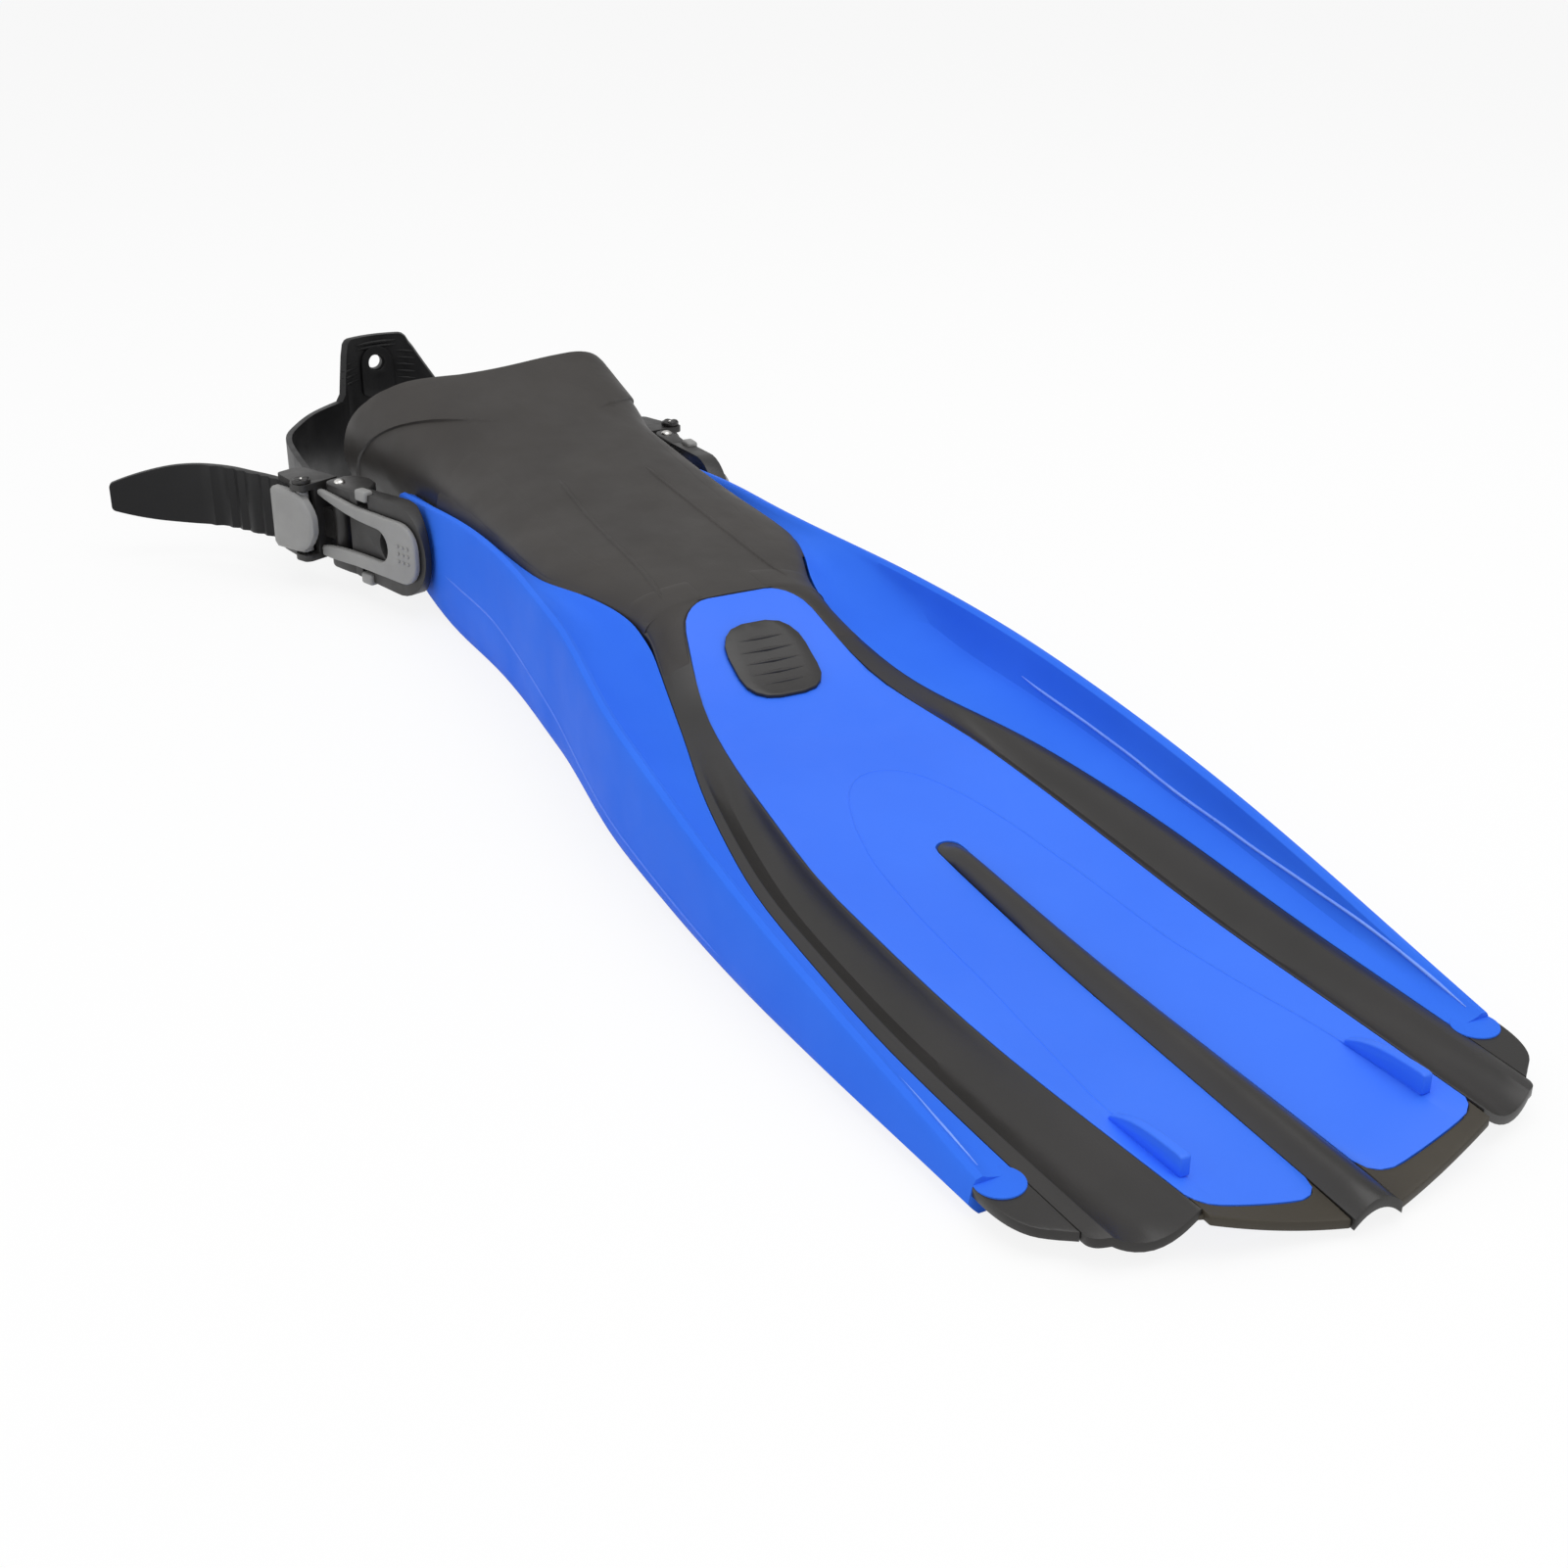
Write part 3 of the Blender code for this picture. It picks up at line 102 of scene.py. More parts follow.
GLOW, NEAR_SHEEN, FAR_SHEEN = 0.58, 1.25, 0.5
SHEEN_TURN = 0.7
world = bpy.data.worlds.new("white_room")
bpy.context.scene.world = world
world.use_nodes = True
tree = world.node_tree
tree.nodes.clear()
glow = tree.nodes.new("ShaderNodeBackground")
glow.inputs["Strength"].default_value = GLOW
sheen = tree.nodes.new("ShaderNodeBackground")
white = tree.nodes.new("ShaderNodeBackground")
for lit in (glow, sheen, white):
    lit.inputs["Color"].default_value = (1.0, 1.0, 1.0, 1.0)
direction = tree.nodes.new("ShaderNodeTexCoord")
parts = tree.nodes.new("ShaderNodeSeparateXYZ")
fade = tree.nodes.new("ShaderNodeMapRange")
for socket, value in (("From Min", -SHEEN_TURN), ("From Max", SHEEN_TURN),
                      ("To Min", NEAR_SHEEN), ("To Max", FAR_SHEEN)):
    fade.inputs[socket].default_value = value
tree.links.new(direction.outputs["Generated"], parts.inputs[0])
tree.links.new(parts.outputs["Y"], fade.inputs["Value"])
tree.links.new(fade.outputs["Result"], sheen.inputs["Strength"])
room = swap_for(tree, "Is Camera Ray", swap_for(tree, "Is Glossy Ray", glow, sheen), white)
tree.links.new(room.outputs[0], tree.nodes.new("ShaderNodeOutputWorld").inputs[0])
print("nodes in the room:", len(tree.nodes))

# %% Pale floor
FLOOR_SIZE, FLOOR_DROP = 14.0, 0.0004
PAPER, PALENESS = 0.9, 0.86
bpy.ops.object.select_all(action="DESELECT")
bpy.ops.mesh.primitive_plane_add(size=FLOOR_SIZE, location=(0.0, 0.0, -FLOOR_DROP))
floor = bpy.context.object
floor.name = "pale_floor"
bpy.ops.object.transform_apply(location=True, rotation=True, scale=True)
paint = bpy.data.materials.new("pale_paper")
paint.use_nodes = True
tree = paint.node_tree
tree.nodes.clear()
matt = tree.nodes.new("ShaderNodeBsdfDiffuse")
matt.inputs["Color"].default_value = (PAPER, PAPER, PAPER, 1.0)
white = tree.nodes.new("ShaderNodeEmission")
pale = tree.nodes.new("ShaderNodeMixShader")
pale.inputs[0].default_value = PALENESS
tree.links.new(matt.outputs[0], pale.inputs[1])
tree.links.new(white.outputs[0], pale.inputs[2])
seen = swap_for(tree, "Is Glossy Ray", swap_for(tree, "Is Camera Ray", matt, pale), pale)
clear = tree.nodes.new("ShaderNodeBsdfTransparent")
one_way = tree.nodes.new("ShaderNodeMixShader")
tree.links.new(tree.nodes.new("ShaderNodeNewGeometry").outputs["Backfacing"], one_way.inputs[0])
tree.links.new(seen.outputs[0], one_way.inputs[1])
tree.links.new(clear.outputs[0], one_way.inputs[2])
tree.links.new(one_way.outputs[0], tree.nodes.new("ShaderNodeOutputMaterial").inputs[0])
floor.data.materials.append(paint)
print("floor across:", FLOOR_SIZE, "m")

# %% [markdown]
# ## The finishes
# Everything on the fin is moulded: soft black rubber, a stiffer blue plastic, and small black and
# grey buckle parts. A moulding is never one even colour. It has broad cloudy patches, a fine
# grain left by the mould and spots where the gloss changes. One node group gives all three,
# and each finish sets its own amounts.

# %% Moulded skin group
def build_moulded_skin():
    """A group that gives a moulding its clouds of colour, its smears of gloss and its grain."""
    skin = bpy.data.node_groups.new("moulded_skin", "ShaderNodeTree")
    for name, kind, value in (("Tint", "NodeSocketColor", (0.5, 0.5, 0.5, 1.0)),
                              ("Cloud Tint", "NodeSocketColor", (0.4, 0.4, 0.4, 1.0)),
                              ("Cloud Scale", "NodeSocketFloat", 25.0),
                              ("Gloss Low", "NodeSocketFloat", 0.4), ("Gloss High", "NodeSocketFloat", 0.6),
                              ("Grain Scale", "NodeSocketFloat", 900.0),
                              ("Grain Depth", "NodeSocketFloat", 0.00005)):
        socket = skin.interface.new_socket(name, in_out="INPUT", socket_type=kind)
        socket.default_value = value
    skin.interface.new_socket("Color", in_out="OUTPUT", socket_type="NodeSocketColor")
    skin.interface.new_socket("Roughness", in_out="OUTPUT", socket_type="NodeSocketFloat")
    skin.interface.new_socket("Normal", in_out="OUTPUT", socket_type="NodeSocketVector")
    nodes, links = skin.nodes, skin.links
    take, give = nodes.new("NodeGroupInput"), nodes.new("NodeGroupOutput")
    place = nodes.new("ShaderNodeTexCoord")

    def noise(scale_socket, factor, detail):
        """Noise on the piece's own coordinates, at a multiple of a scale."""
        scale = nodes.new("ShaderNodeMath")
        scale.operation = "MULTIPLY"
        scale.inputs[1].default_value = factor
        links.new(scale_socket, scale.inputs[0])
        cloud = nodes.new("ShaderNodeTexNoise")
        cloud.inputs["Detail"].default_value = detail
        links.new(place.outputs["Object"], cloud.inputs["Vector"])
        links.new(scale.outputs[0], cloud.inputs["Scale"])
        return cloud.outputs["Fac"]

    clouds = noise(take.outputs["Cloud Scale"], factor=1.0, detail=4.0)
    spread = nodes.new("ShaderNodeMapRange")
    spread.inputs["From Min"].default_value, spread.inputs["From Max"].default_value = 0.32, 0.68
    links.new(clouds, spread.inputs["Value"])
    tint = nodes.new("ShaderNodeMix")
    tint.data_type = "RGBA"
    links.new(spread.outputs["Result"], tint.inputs["Factor"])
    links.new(take.outputs["Tint"], tint.inputs["A"])
    links.new(take.outputs["Cloud Tint"], tint.inputs["B"])
    links.new(tint.outputs["Result"], give.inputs["Color"])

    smears = noise(take.outputs["Cloud Scale"], factor=2.7, detail=6.0)
    gloss = nodes.new("ShaderNodeMapRange")
    gloss.inputs["From Min"].default_value, gloss.inputs["From Max"].default_value = 0.3, 0.7
    links.new(smears, gloss.inputs["Value"])
    links.new(take.outputs["Gloss Low"], gloss.inputs["To Min"])
    links.new(take.outputs["Gloss High"], gloss.inputs["To Max"])
    links.new(gloss.outputs["Result"], give.inputs["Roughness"])

    grain = noise(take.outputs["Grain Scale"], factor=1.0, detail=3.0)
    bump = nodes.new("ShaderNodeBump")
    bump.inputs["Strength"].default_value = 1.0
    links.new(take.outputs["Grain Depth"], bump.inputs["Distance"])
    links.new(grain, bump.inputs["Height"])
    links.new(bump.outputs["Normal"], give.inputs["Normal"])
    return skin


moulded_skin = build_moulded_skin()
print("nodes in the skin:", len(moulded_skin.nodes))

# %% Finishes
def finish_of(name, tint, cloud_tint, cloud_scale, gloss, grain_scale, grain_depth, specular=0.5, metal=0.0):
    """A material whose colour, gloss and grain come from the moulded skin."""
    material = bpy.data.materials.new(name)
    material.use_nodes = True
    nodes, links = material.node_tree.nodes, material.node_tree.links
    surface = nodes["Principled BSDF"]
    surface.inputs["Specular IOR Level"].default_value = specular
    surface.inputs["Metallic"].default_value = metal
    skin = nodes.new("ShaderNodeGroup")
    skin.node_tree = moulded_skin
    skin.inputs["Tint"].default_value = (*tint, 1.0)
    skin.inputs["Cloud Tint"].default_value = (*cloud_tint, 1.0)
    skin.inputs["Cloud Scale"].default_value = cloud_scale
    skin.inputs["Gloss Low"].default_value, skin.inputs["Gloss High"].default_value = gloss
    skin.inputs["Grain Scale"].default_value = grain_scale
    skin.inputs["Grain Depth"].default_value = grain_depth
    links.new(skin.outputs["Color"], surface.inputs["Base Color"])
    links.new(skin.outputs["Roughness"], surface.inputs["Roughness"])
    links.new(skin.outputs["Normal"], surface.inputs["Normal"])
    return material


pocket_rubber = finish_of("pocket_rubber", (0.041, 0.037, 0.034), (0.032, 0.029, 0.027), cloud_scale=18.0,
                          gloss=(0.42, 0.56), grain_scale=1400.0, grain_depth=0.00003, specular=0.26)
strip_rubber = finish_of("strip_rubber", (0.022, 0.020, 0.019), (0.016, 0.015, 0.014), cloud_scale=22.0,
                         gloss=(0.30, 0.42), grain_scale=1400.0, grain_depth=0.00003, specular=0.42)
tip_rubber = finish_of("tip_rubber", (0.050, 0.043, 0.031), (0.038, 0.032, 0.024), cloud_scale=24.0,
                       gloss=(0.40, 0.54), grain_scale=1400.0, grain_depth=0.00003, specular=0.26)
blade_blue = finish_of("blade_blue", (0.038, 0.178, 0.920), (0.031, 0.161, 0.885), cloud_scale=14.0,
                       gloss=(0.40, 0.52), grain_scale=700.0, grain_depth=0.00002, specular=0.3)
rail_blue = finish_of("rail_blue", (0.040, 0.174, 0.850), (0.033, 0.155, 0.810), cloud_scale=16.0,
                      gloss=(0.50, 0.62), grain_scale=700.0, grain_depth=0.00002, specular=0.04)
# The bead's finish is a pale blue: a painted highlight along the foot of each rail.
edge_blue = finish_of("edge_blue", (0.220, 0.390, 0.950), (0.170, 0.330, 0.930), cloud_scale=90.0,
                      gloss=(0.25, 0.35), grain_scale=900.0, grain_depth=0.00001, specular=0.4)
# The parting line's finish is a blue a little lighter than the rail: a painted highlight along the line.
line_blue = finish_of("line_blue", (0.075, 0.225, 0.900), (0.060, 0.200, 0.880), cloud_scale=90.0,
                      gloss=(0.35, 0.45), grain_scale=900.0, grain_depth=0.00001, specular=0.3)
buckle_black = finish_of("buckle_black", (0.022, 0.021, 0.020), (0.016, 0.015, 0.015), cloud_scale=40.0,
                         gloss=(0.36, 0.5), grain_scale=1800.0, grain_depth=0.00003, specular=0.45)
strap_black = finish_of("strap_black", (0.008, 0.008, 0.0085), (0.006, 0.006, 0.0065), cloud_scale=30.0,
                        gloss=(0.36, 0.50), grain_scale=1600.0, grain_depth=0.00003, specular=0.24)
clip_grey = finish_of("clip_grey", (0.285, 0.284, 0.279), (0.250, 0.249, 0.245), cloud_scale=60.0,
                      gloss=(0.42, 0.56), grain_scale=1500.0, grain_depth=0.00006, specular=0.35)
pin_steel = finish_of("pin_steel", (0.62, 0.61, 0.59), (0.55, 0.54, 0.52), cloud_scale=120.0,
                      gloss=(0.24, 0.38), grain_scale=2200.0, grain_depth=0.00002, specular=0.5, metal=1.0)
print("finishes:", len([m for m in bpy.data.materials if m.use_nodes]))

# %% [markdown]
# ## Copying a solid
# A solid from the frame is loose triangles. The copy is merged into one skin and its pairs of
# triangles joined to quads, and then its faces and edges can be picked and shaped. The solid itself
# stays in the frame, hidden. A finished piece gets a material and rides on the body of its solid, which
# it replaces or sits on.

# %% Helpers for copies
WELD = 0.00001


def pick_only(piece):
    """Makes one piece the only selected one."""
    bpy.ops.object.select_all(action="DESELECT")
    piece.select_set(True)
    bpy.context.view_layer.objects.active = piece


def moulding(node, name, flat=False):
    """A merged copy of a solid, with its flat faces made whole if it is all planes."""
    mesh = frame["nodes"][node].data.copy()
    mesh.name = name
    mesh.materials.clear()
    piece = bpy.data.objects.new(name, mesh)
    bpy.context.scene.collection.objects.link(piece)
    pick_only(piece)
    bpy.ops.object.mode_set(mode="EDIT")
    bpy.ops.mesh.select_all(action="SELECT")
    bpy.ops.mesh.customdata_custom_splitnormals_clear()
    bpy.ops.mesh.remove_doubles(threshold=WELD)
    if flat:
        bpy.ops.mesh.dissolve_limited(angle_limit=math.radians(1.0))
    else:
        bpy.ops.mesh.tris_convert_to_quads(face_threshold=math.radians(60), shape_threshold=math.radians(60))
    bpy.ops.object.mode_set(mode="OBJECT")
    return piece


def apply_all(piece):
    """Applies a piece's modifiers, from the first to the last."""
    pick_only(piece)
    for modifier in list(piece.modifiers):
        bpy.ops.object.modifier_apply(modifier=modifier.name)


# %% Picking faces
def pick_faces(test):
    """In edit mode, selects the faces whose centre and normal pass a test."""
    bpy.ops.mesh.select_mode(type="FACE")
    bpy.ops.mesh.select_all(action="DESELECT")
    skin = bmesh.from_edit_mesh(bpy.context.object.data)
    for face in skin.faces:
        if test(face.calc_center_median(), face.normal):
            face.select_set(True)
    bmesh.update_edit_mesh(bpy.context.object.data)


# %% Helpers for the hand-over
body_of_node = {}
for body, held in frame["record"]["behaviour"]["bodies"].items():
    for node in held:
        body_of_node[node] = body
print("bodies:", sorted(set(body_of_node.values())))


def dress(piece, node, finish):
    """Puts a finish on a piece that stands for a solid and moves with its body."""
    piece.data.materials.append(finish)
    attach(piece, body_of_node[node])
    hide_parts(node)
    print(piece.name, len(piece.data.polygons), "faces")


def add_on(piece, node, finish):
    """Puts a finish on an extra piece that sits on a solid and moves with its body."""
    piece.data.materials.append(finish)
    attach(piece, body_of_node[node])
    print(piece.name, len(piece.data.polygons), "faces")


# %% [markdown]
# ## The foot pocket
# The pocket is thick soft rubber, so few of its forms are sharp: a subdivision surface rounds them.
# The rim is cut fairly square and the toe end runs on into the channels, so the edges of both are
# creased first, the rim a little less than the toe.

# %% Pocket shell
TOE_FACE_X, TOE_CREASE = 0.0185, 1.0
RIM_FACE_X, RIM_CREASE = -0.15, 0.7
pocket = moulding("foot_pocket", "foot_pocket_shell")
bpy.ops.object.mode_set(mode="EDIT")
pick_faces(lambda c, n: n.x > 0.9 and c.x > TOE_FACE_X)
bpy.ops.mesh.region_to_loop()
bpy.ops.transform.edge_crease(value=TOE_CREASE)
pick_faces(lambda c, n: n.x < -0.45 and c.x < RIM_FACE_X)
bpy.ops.mesh.region_to_loop()
bpy.ops.transform.edge_crease(value=RIM_CREASE)
bpy.ops.object.mode_set(mode="OBJECT")
smooth = pocket.modifiers.new("soft_rubber", "SUBSURF")
smooth.levels = smooth.render_levels = 2
apply_all(pocket)
print("pocket faces after smoothing:", len(pocket.data.polygons))

# %% [markdown]
# The rim carries a cuff: the rubber is a little thicker behind a line that runs up both sides and
# fades out over the instep. Two cuts close together mark the step on each side, and a Displace
# modifier lifts what lies behind them, by weights that fade towards the middle.

# %% Cuff round the rim
CUFF_X, CUFF_Y, CUFF_Z = -0.2496, 0.0677, 0.0474
CUFF_NORMAL = (0.5, 0.36, -0.66)
CUFF_STEP, CUFF_LIFT, CUFF_NEAR = 0.0008, 0.0013, 0.03
BARE_MIDDLE, FADE_FROM, FADE_OVER = 0.012, 0.026, 0.024
POCKET_MIDDLE_Z = 0.045


def behind_cuff(p):
    """How far a point lies behind the cuff line, towards the rim."""
    slant, lean = CUFF_NORMAL[1] / CUFF_NORMAL[0], -CUFF_NORMAL[2] / CUFF_NORMAL[0]
    return CUFF_X + lean * (p.z - CUFF_Z) - slant * (abs(p.y) - CUFF_Y) - p.x


bpy.ops.object.mode_set(mode="EDIT")
for side in (-1, 1):
    for step in (0.0, CUFF_STEP):
        pick_faces(lambda c, n: c.y * side > BARE_MIDDLE and abs(behind_cuff(c)) < CUFF_NEAR)
        bpy.ops.mesh.bisect(plane_co=(CUFF_X - step, side * CUFF_Y, CUFF_Z),
                            plane_no=(CUFF_NORMAL[0], side * CUFF_NORMAL[1], CUFF_NORMAL[2]))
bpy.ops.object.mode_set(mode="OBJECT")
cuff = pocket.vertex_groups.new(name="cuff")
for vert in pocket.data.vertices:
    outward = Vector((0.0, vert.co.y, vert.co.z - POCKET_MIDDLE_Z)).dot(vert.normal)
    share = min(max(behind_cuff(vert.co) / CUFF_STEP, 0.0), 1.0)
    fade = min(max((abs(vert.co.y) - FADE_FROM) / FADE_OVER, 0.0), 1.0)
    if outward > 0 and share * fade > 0:
        cuff.add([vert.index], share * fade, "REPLACE")
lift = pocket.modifiers.new("cuff_step", "DISPLACE")
lift.vertex_group, lift.mid_level, lift.strength = "cuff", 0.0, CUFF_LIFT
apply_all(pocket)
bpy.ops.object.shade_smooth_by_angle(angle=math.radians(50.0))
dress(pocket, "foot_pocket", pocket_rubber)

# %% [markdown]
# Two soft ridges run down the instep to the toe, where the mould halves met the core. A thin rod is
# laid along each line: the points are dropped on the shell, and the rod sinks half into it.

# %% Rods laid on a surface
DOWN = (0.0, 0.0, -1.0)


def landing(target, point, along=DOWN):
    """Where a line from a point meets a piece, with the normal there."""
    found, spot, normal, _ = target.ray_cast(Vector(point), Vector(along))
    return (spot, normal) if found else (None, None)


def laid_rod(name, points, radius, target, along=DOWN, start=0.3, rise=0.0, step=0.004):
    """A thin rod through points that are dropped on a piece, standing proud of it by its rise."""
    knots = [Vector(p) for p in points]
    line = []
    for a, b in zip(knots, knots[1:]):
        count = max(int((b - a).length / step), 1)
        line += [a.lerp(b, k / count) for k in range(count)]
    line.append(knots[-1])
    for _ in range(3):
        line = [line[0]] + [(a + b * 2 + c) / 4 for a, b, c in zip(line, line[1:], line[2:])] + [line[-1]]
    aim = Vector(along)
    spots = []
    for p in line:
        spot, normal = landing(target, p - aim * start, aim)
        if spot is not None:
            spots.append(spot + normal * rise)
    curve = bpy.data.curves.new(name, "CURVE")
    curve.dimensions, curve.bevel_depth, curve.bevel_resolution = "3D", radius, 1
    curve.use_fill_caps = True
    path = curve.splines.new("POLY")
    path.points.add(len(spots) - 1)
    for i, spot in enumerate(spots):
        path.points[i].co = (*spot, 1.0)
        path.points[i].radius = min(1.0, 0.25 + 0.25 * min(i, len(spots) - 1 - i))
    rod = bpy.data.objects.new(name, curve)
    bpy.context.scene.collection.objects.link(rod)
    pick_only(rod)
    bpy.ops.object.convert(target="MESH")
    rod = bpy.context.object
    bpy.ops.object.shade_smooth()
    return rod


# %% Instep ridges
SIDES = ((1, "left"), (-1, "right"))
INSTEP = ((-0.118, 0.0205), (-0.075, 0.0235), (-0.033, 0.0245), (-0.006, 0.0256), (0.0185, 0.0290))
for side, label in SIDES:
    line = [(x, y * side, 0.0) for x, y in INSTEP]
    ridge = laid_rod("instep_ridge_" + label, line, radius=0.0014, target=pocket, rise=-0.0007)
    add_on(ridge, "foot_pocket", pocket_rubber)

# %% [markdown]
# ## Rails, panel and rubber strips
# The rails are one stiff blue moulding each. The panel and the strips lie between them. Where two
# strips of rubber meet, the real fin has one piece of rubber, so those edges stay unrounded and
# the toe end of each channel is pushed a little way into the pocket, which closes the joint.
# The solids are faceted, so most copies are subdivided once with their folds creased, which takes the
# corners out of their curves, and then every sharp edge is bevelled.

# %% Rounding edges
SHARP = 35.0


def pick_edges(test):
    """In edit mode, selects the edges whose two ends and fold angle pass a test."""
    bpy.ops.mesh.select_mode(type="EDGE")
    bpy.ops.mesh.select_all(action="DESELECT")
    skin = bmesh.from_edit_mesh(bpy.context.object.data)
    count = 0
    for edge in skin.edges:
        fold = edge.calc_face_angle(0.0)
        if test(edge.verts[0].co, edge.verts[1].co, math.degrees(fold)):
            edge.select_set(True)
            count += 1
    bmesh.update_edit_mesh(bpy.context.object.data)
    return count


def smooth_curves(piece):
    """Subdivides a moulding with its folds creased, so that its curves lose their corners."""
    pick_only(piece)
    bpy.ops.object.mode_set(mode="EDIT")
    pick_edges(lambda a, b, fold: fold > SHARP)
    bpy.ops.transform.edge_crease(value=1.0)
    bpy.ops.object.mode_set(mode="OBJECT")
    finer = piece.modifiers.new("finer", "SUBSURF")
    finer.levels = finer.render_levels = 1
    apply_all(piece)


def round_edges(piece, width, angle=SHARP, steps=2, leave=None):
    """Rounds every edge sharper than the angle, apart from those to leave, and smooths the rest."""
    pick_only(piece)
    bpy.ops.object.mode_set(mode="EDIT")
    pick_edges(lambda a, b, fold: fold > angle and not (leave and leave(a, b)))
    bpy.ops.mesh.bevel(offset=width, segments=steps, profile=0.5, clamp_overlap=True)
    bpy.ops.object.mode_set(mode="OBJECT")
    bpy.ops.object.shade_smooth_by_angle(angle=math.radians(40.0))


def upright(a, b):
    """Whether an edge stands more up than along."""
    return abs(a.z - b.z) > 0.8 * (a - b).length


def round_corners(piece, width, test):
    """Rounds the upright edges of a piece whose ends pass a test."""
    pick_only(piece)
    bpy.ops.object.mode_set(mode="EDIT")
    count = pick_edges(lambda a, b, fold: fold > 40.0 and upright(a, b) and test(a, b))
    bpy.ops.mesh.bevel(offset=width, segments=4, profile=0.5, clamp_overlap=True)
    bpy.ops.object.mode_set(mode="OBJECT")
    print(piece.name, "corners:", count)


# %% Blade mouldings
TOE_END = 0.0205
TOE_PUSH = (-0.0016, 0.0, -0.00004)
TIP_X, OUTER_Y = 0.36, 0.066


def at_toe(a, b):
    """Whether an edge lies at the toe, where the strips meet the pocket."""
    return a.x < TOE_END and b.x < TOE_END


panel = moulding("blade_panel", "blade_panel_moulding")
round_edges(panel, 0.0005, leave=at_toe)
dress(panel, "blade_panel", blade_blue)
ridge = moulding("center_ridge", "center_ridge_moulding")
smooth_curves(ridge)
round_edges(ridge, 0.0005)
dress(ridge, "center_ridge", strip_rubber)
rails, channels = {}, {}
for side in ("left", "right"):
    rails[side] = moulding("side_rail_" + side, "side_rail_moulding_" + side)
    smooth_curves(rails[side])
    round_edges(rails[side], 0.0009, angle=30.0, steps=3)
    dress(rails[side], "side_rail_" + side, rail_blue)
    channels[side] = moulding("channel_" + side, "channel_moulding_" + side)
    bpy.ops.object.mode_set(mode="EDIT")
    pick_faces(lambda c, n: n.x < -0.8 and c.x < TOE_END)
    bpy.ops.transform.translate(value=TOE_PUSH)
    bpy.ops.object.mode_set(mode="OBJECT")
    round_corners(channels[side], 0.003, lambda a, b: a.x > TIP_X and abs(a.y) > OUTER_Y)
    smooth_curves(channels[side])
    round_edges(channels[side], 0.0006, leave=at_toe)
    dress(channels[side], "channel_" + side, strip_rubber)
    for node, finish in (("tip_band_", tip_rubber), ("side_tip_", strip_rubber)):
        rubber = moulding(node + side, node + "moulding_" + side)
        smooth_curves(rubber)
        round_edges(rubber, 0.0006)
        dress(rubber, node + side, finish)

# %% [markdown]
# In the real fin the pocket and its channels are one moulding, so a thin fairing lies over the joint
# between them at the neck. Its grid is dropped on whatever lies highest, and no row may lie much lower
# than the one behind it, so the step becomes a slope. Its borders sink into the rubber and don't show.

# %% Thin sheets
SHEET_THICK = 0.0008
CEILING = 0.12


def highest(x, y, pieces):
    """The height and the name of the piece that lies highest at a place."""
    found = [(landing(piece, (x, y, CEILING))[0], name) for name, piece in pieces.items()]
    return max(((spot.z, name) for spot, name in found if spot is not None), default=(0.0, ""))


def turn_outward(piece):
    """Makes the faces of a closed piece point outwards."""
    pick_only(piece)
    bpy.ops.object.mode_set(mode="EDIT")
    bpy.ops.mesh.select_all(action="SELECT")
    bpy.ops.mesh.normals_make_consistent(inside=False)
    bpy.ops.object.mode_set(mode="OBJECT")


def sheet(name, grid, side):
    """A thin closed sheet through a grid of points, with its thickness below them."""
    rows, columns = len(grid), len(grid[0])
    bpy.ops.object.select_all(action="DESELECT")
    bpy.ops.mesh.primitive_grid_add(x_subdivisions=columns - 1, y_subdivisions=rows - 1, size=1.0)
    piece = bpy.context.object
    piece.name = piece.data.name = name
    for n, vert in enumerate(piece.data.vertices):
        vert.co = grid[n // columns][n % columns]
    thick = piece.modifiers.new("thick", "SOLIDIFY")
    thick.thickness, thick.offset = SHEET_THICK, side
    finer = piece.modifiers.new("finer", "SUBSURF")
    finer.levels = finer.render_levels = 1
    apply_all(piece)
    turn_outward(piece)
    bpy.ops.object.shade_smooth_by_angle(angle=math.radians(60.0))
    return piece


# %% Neck fairing
ROWS, COLUMNS = 24, 15
REACH, FALL, FADE_ROWS = 0.046, 0.6, 0.45
SCAN = 0.00025
MIDDLE_EDGE = 0.0128
PROUD, SUNK = 0.0007, 0.0004
for side, label in SIDES:
    lying = {"panel": panel, "pocket": pocket, "channel": channels[label], "rail": rails[label]}
    grid = []
    for i in range(ROWS):
        x = REACH * i / (ROWS - 1)
        black = [y * SCAN for y in range(50, 190)
                 if highest(x, side * y * SCAN, lying)[1] in ("pocket", "channel")]
        low, high = max(black[0] + 0.0002, MIDDLE_EDGE), black[-1] - 0.0001
        marks = [low + (high - low) * k / (COLUMNS - 1) for k in range(COLUMNS)]
        grid.append([Vector((x, side * y, highest(x, side * y, lying)[0])) for y in marks])
    ground = [[p.z for p in row] for row in grid]
    for back, row in zip(grid, grid[1:]):
        for a, b in zip(back, row):
            b.z = max(b.z, a.z - FALL * (b.x - a.x))
    for _ in range(2):
        inner = [[Vector((b.x, b.y, max(b.z, (a.z + b.z * 2 + c.z) / 4))) for a, b, c in zip(*rows)]
                 for rows in zip(grid, grid[1:], grid[2:])]
        grid = [grid[0]] + inner + [grid[-1]]
    for i, row in enumerate(grid):
        kept = min((ROWS - 1 - i) / (ROWS * FADE_ROWS), 1.0)
        kept = kept * kept * (3.0 - 2.0 * kept)
        for k, p in enumerate(row):
            edge = min(i, ROWS - 1 - i, 2 * min(k, COLUMNS - 1 - k) + 1, 2) / 2
            p.z = ground[i][k] + (p.z - ground[i][k]) * kept + PROUD * edge - SUNK
    add_on(sheet("neck_fairing_" + label, grid, side), "channel_" + label, pocket_rubber)

# %% [markdown]
# Along the rails the rubber of the pocket runs straight down to the edge of the blue, without a valley.
# A second pair of sheets fills it. Across the fin each row is the tightest line over pocket and rail.

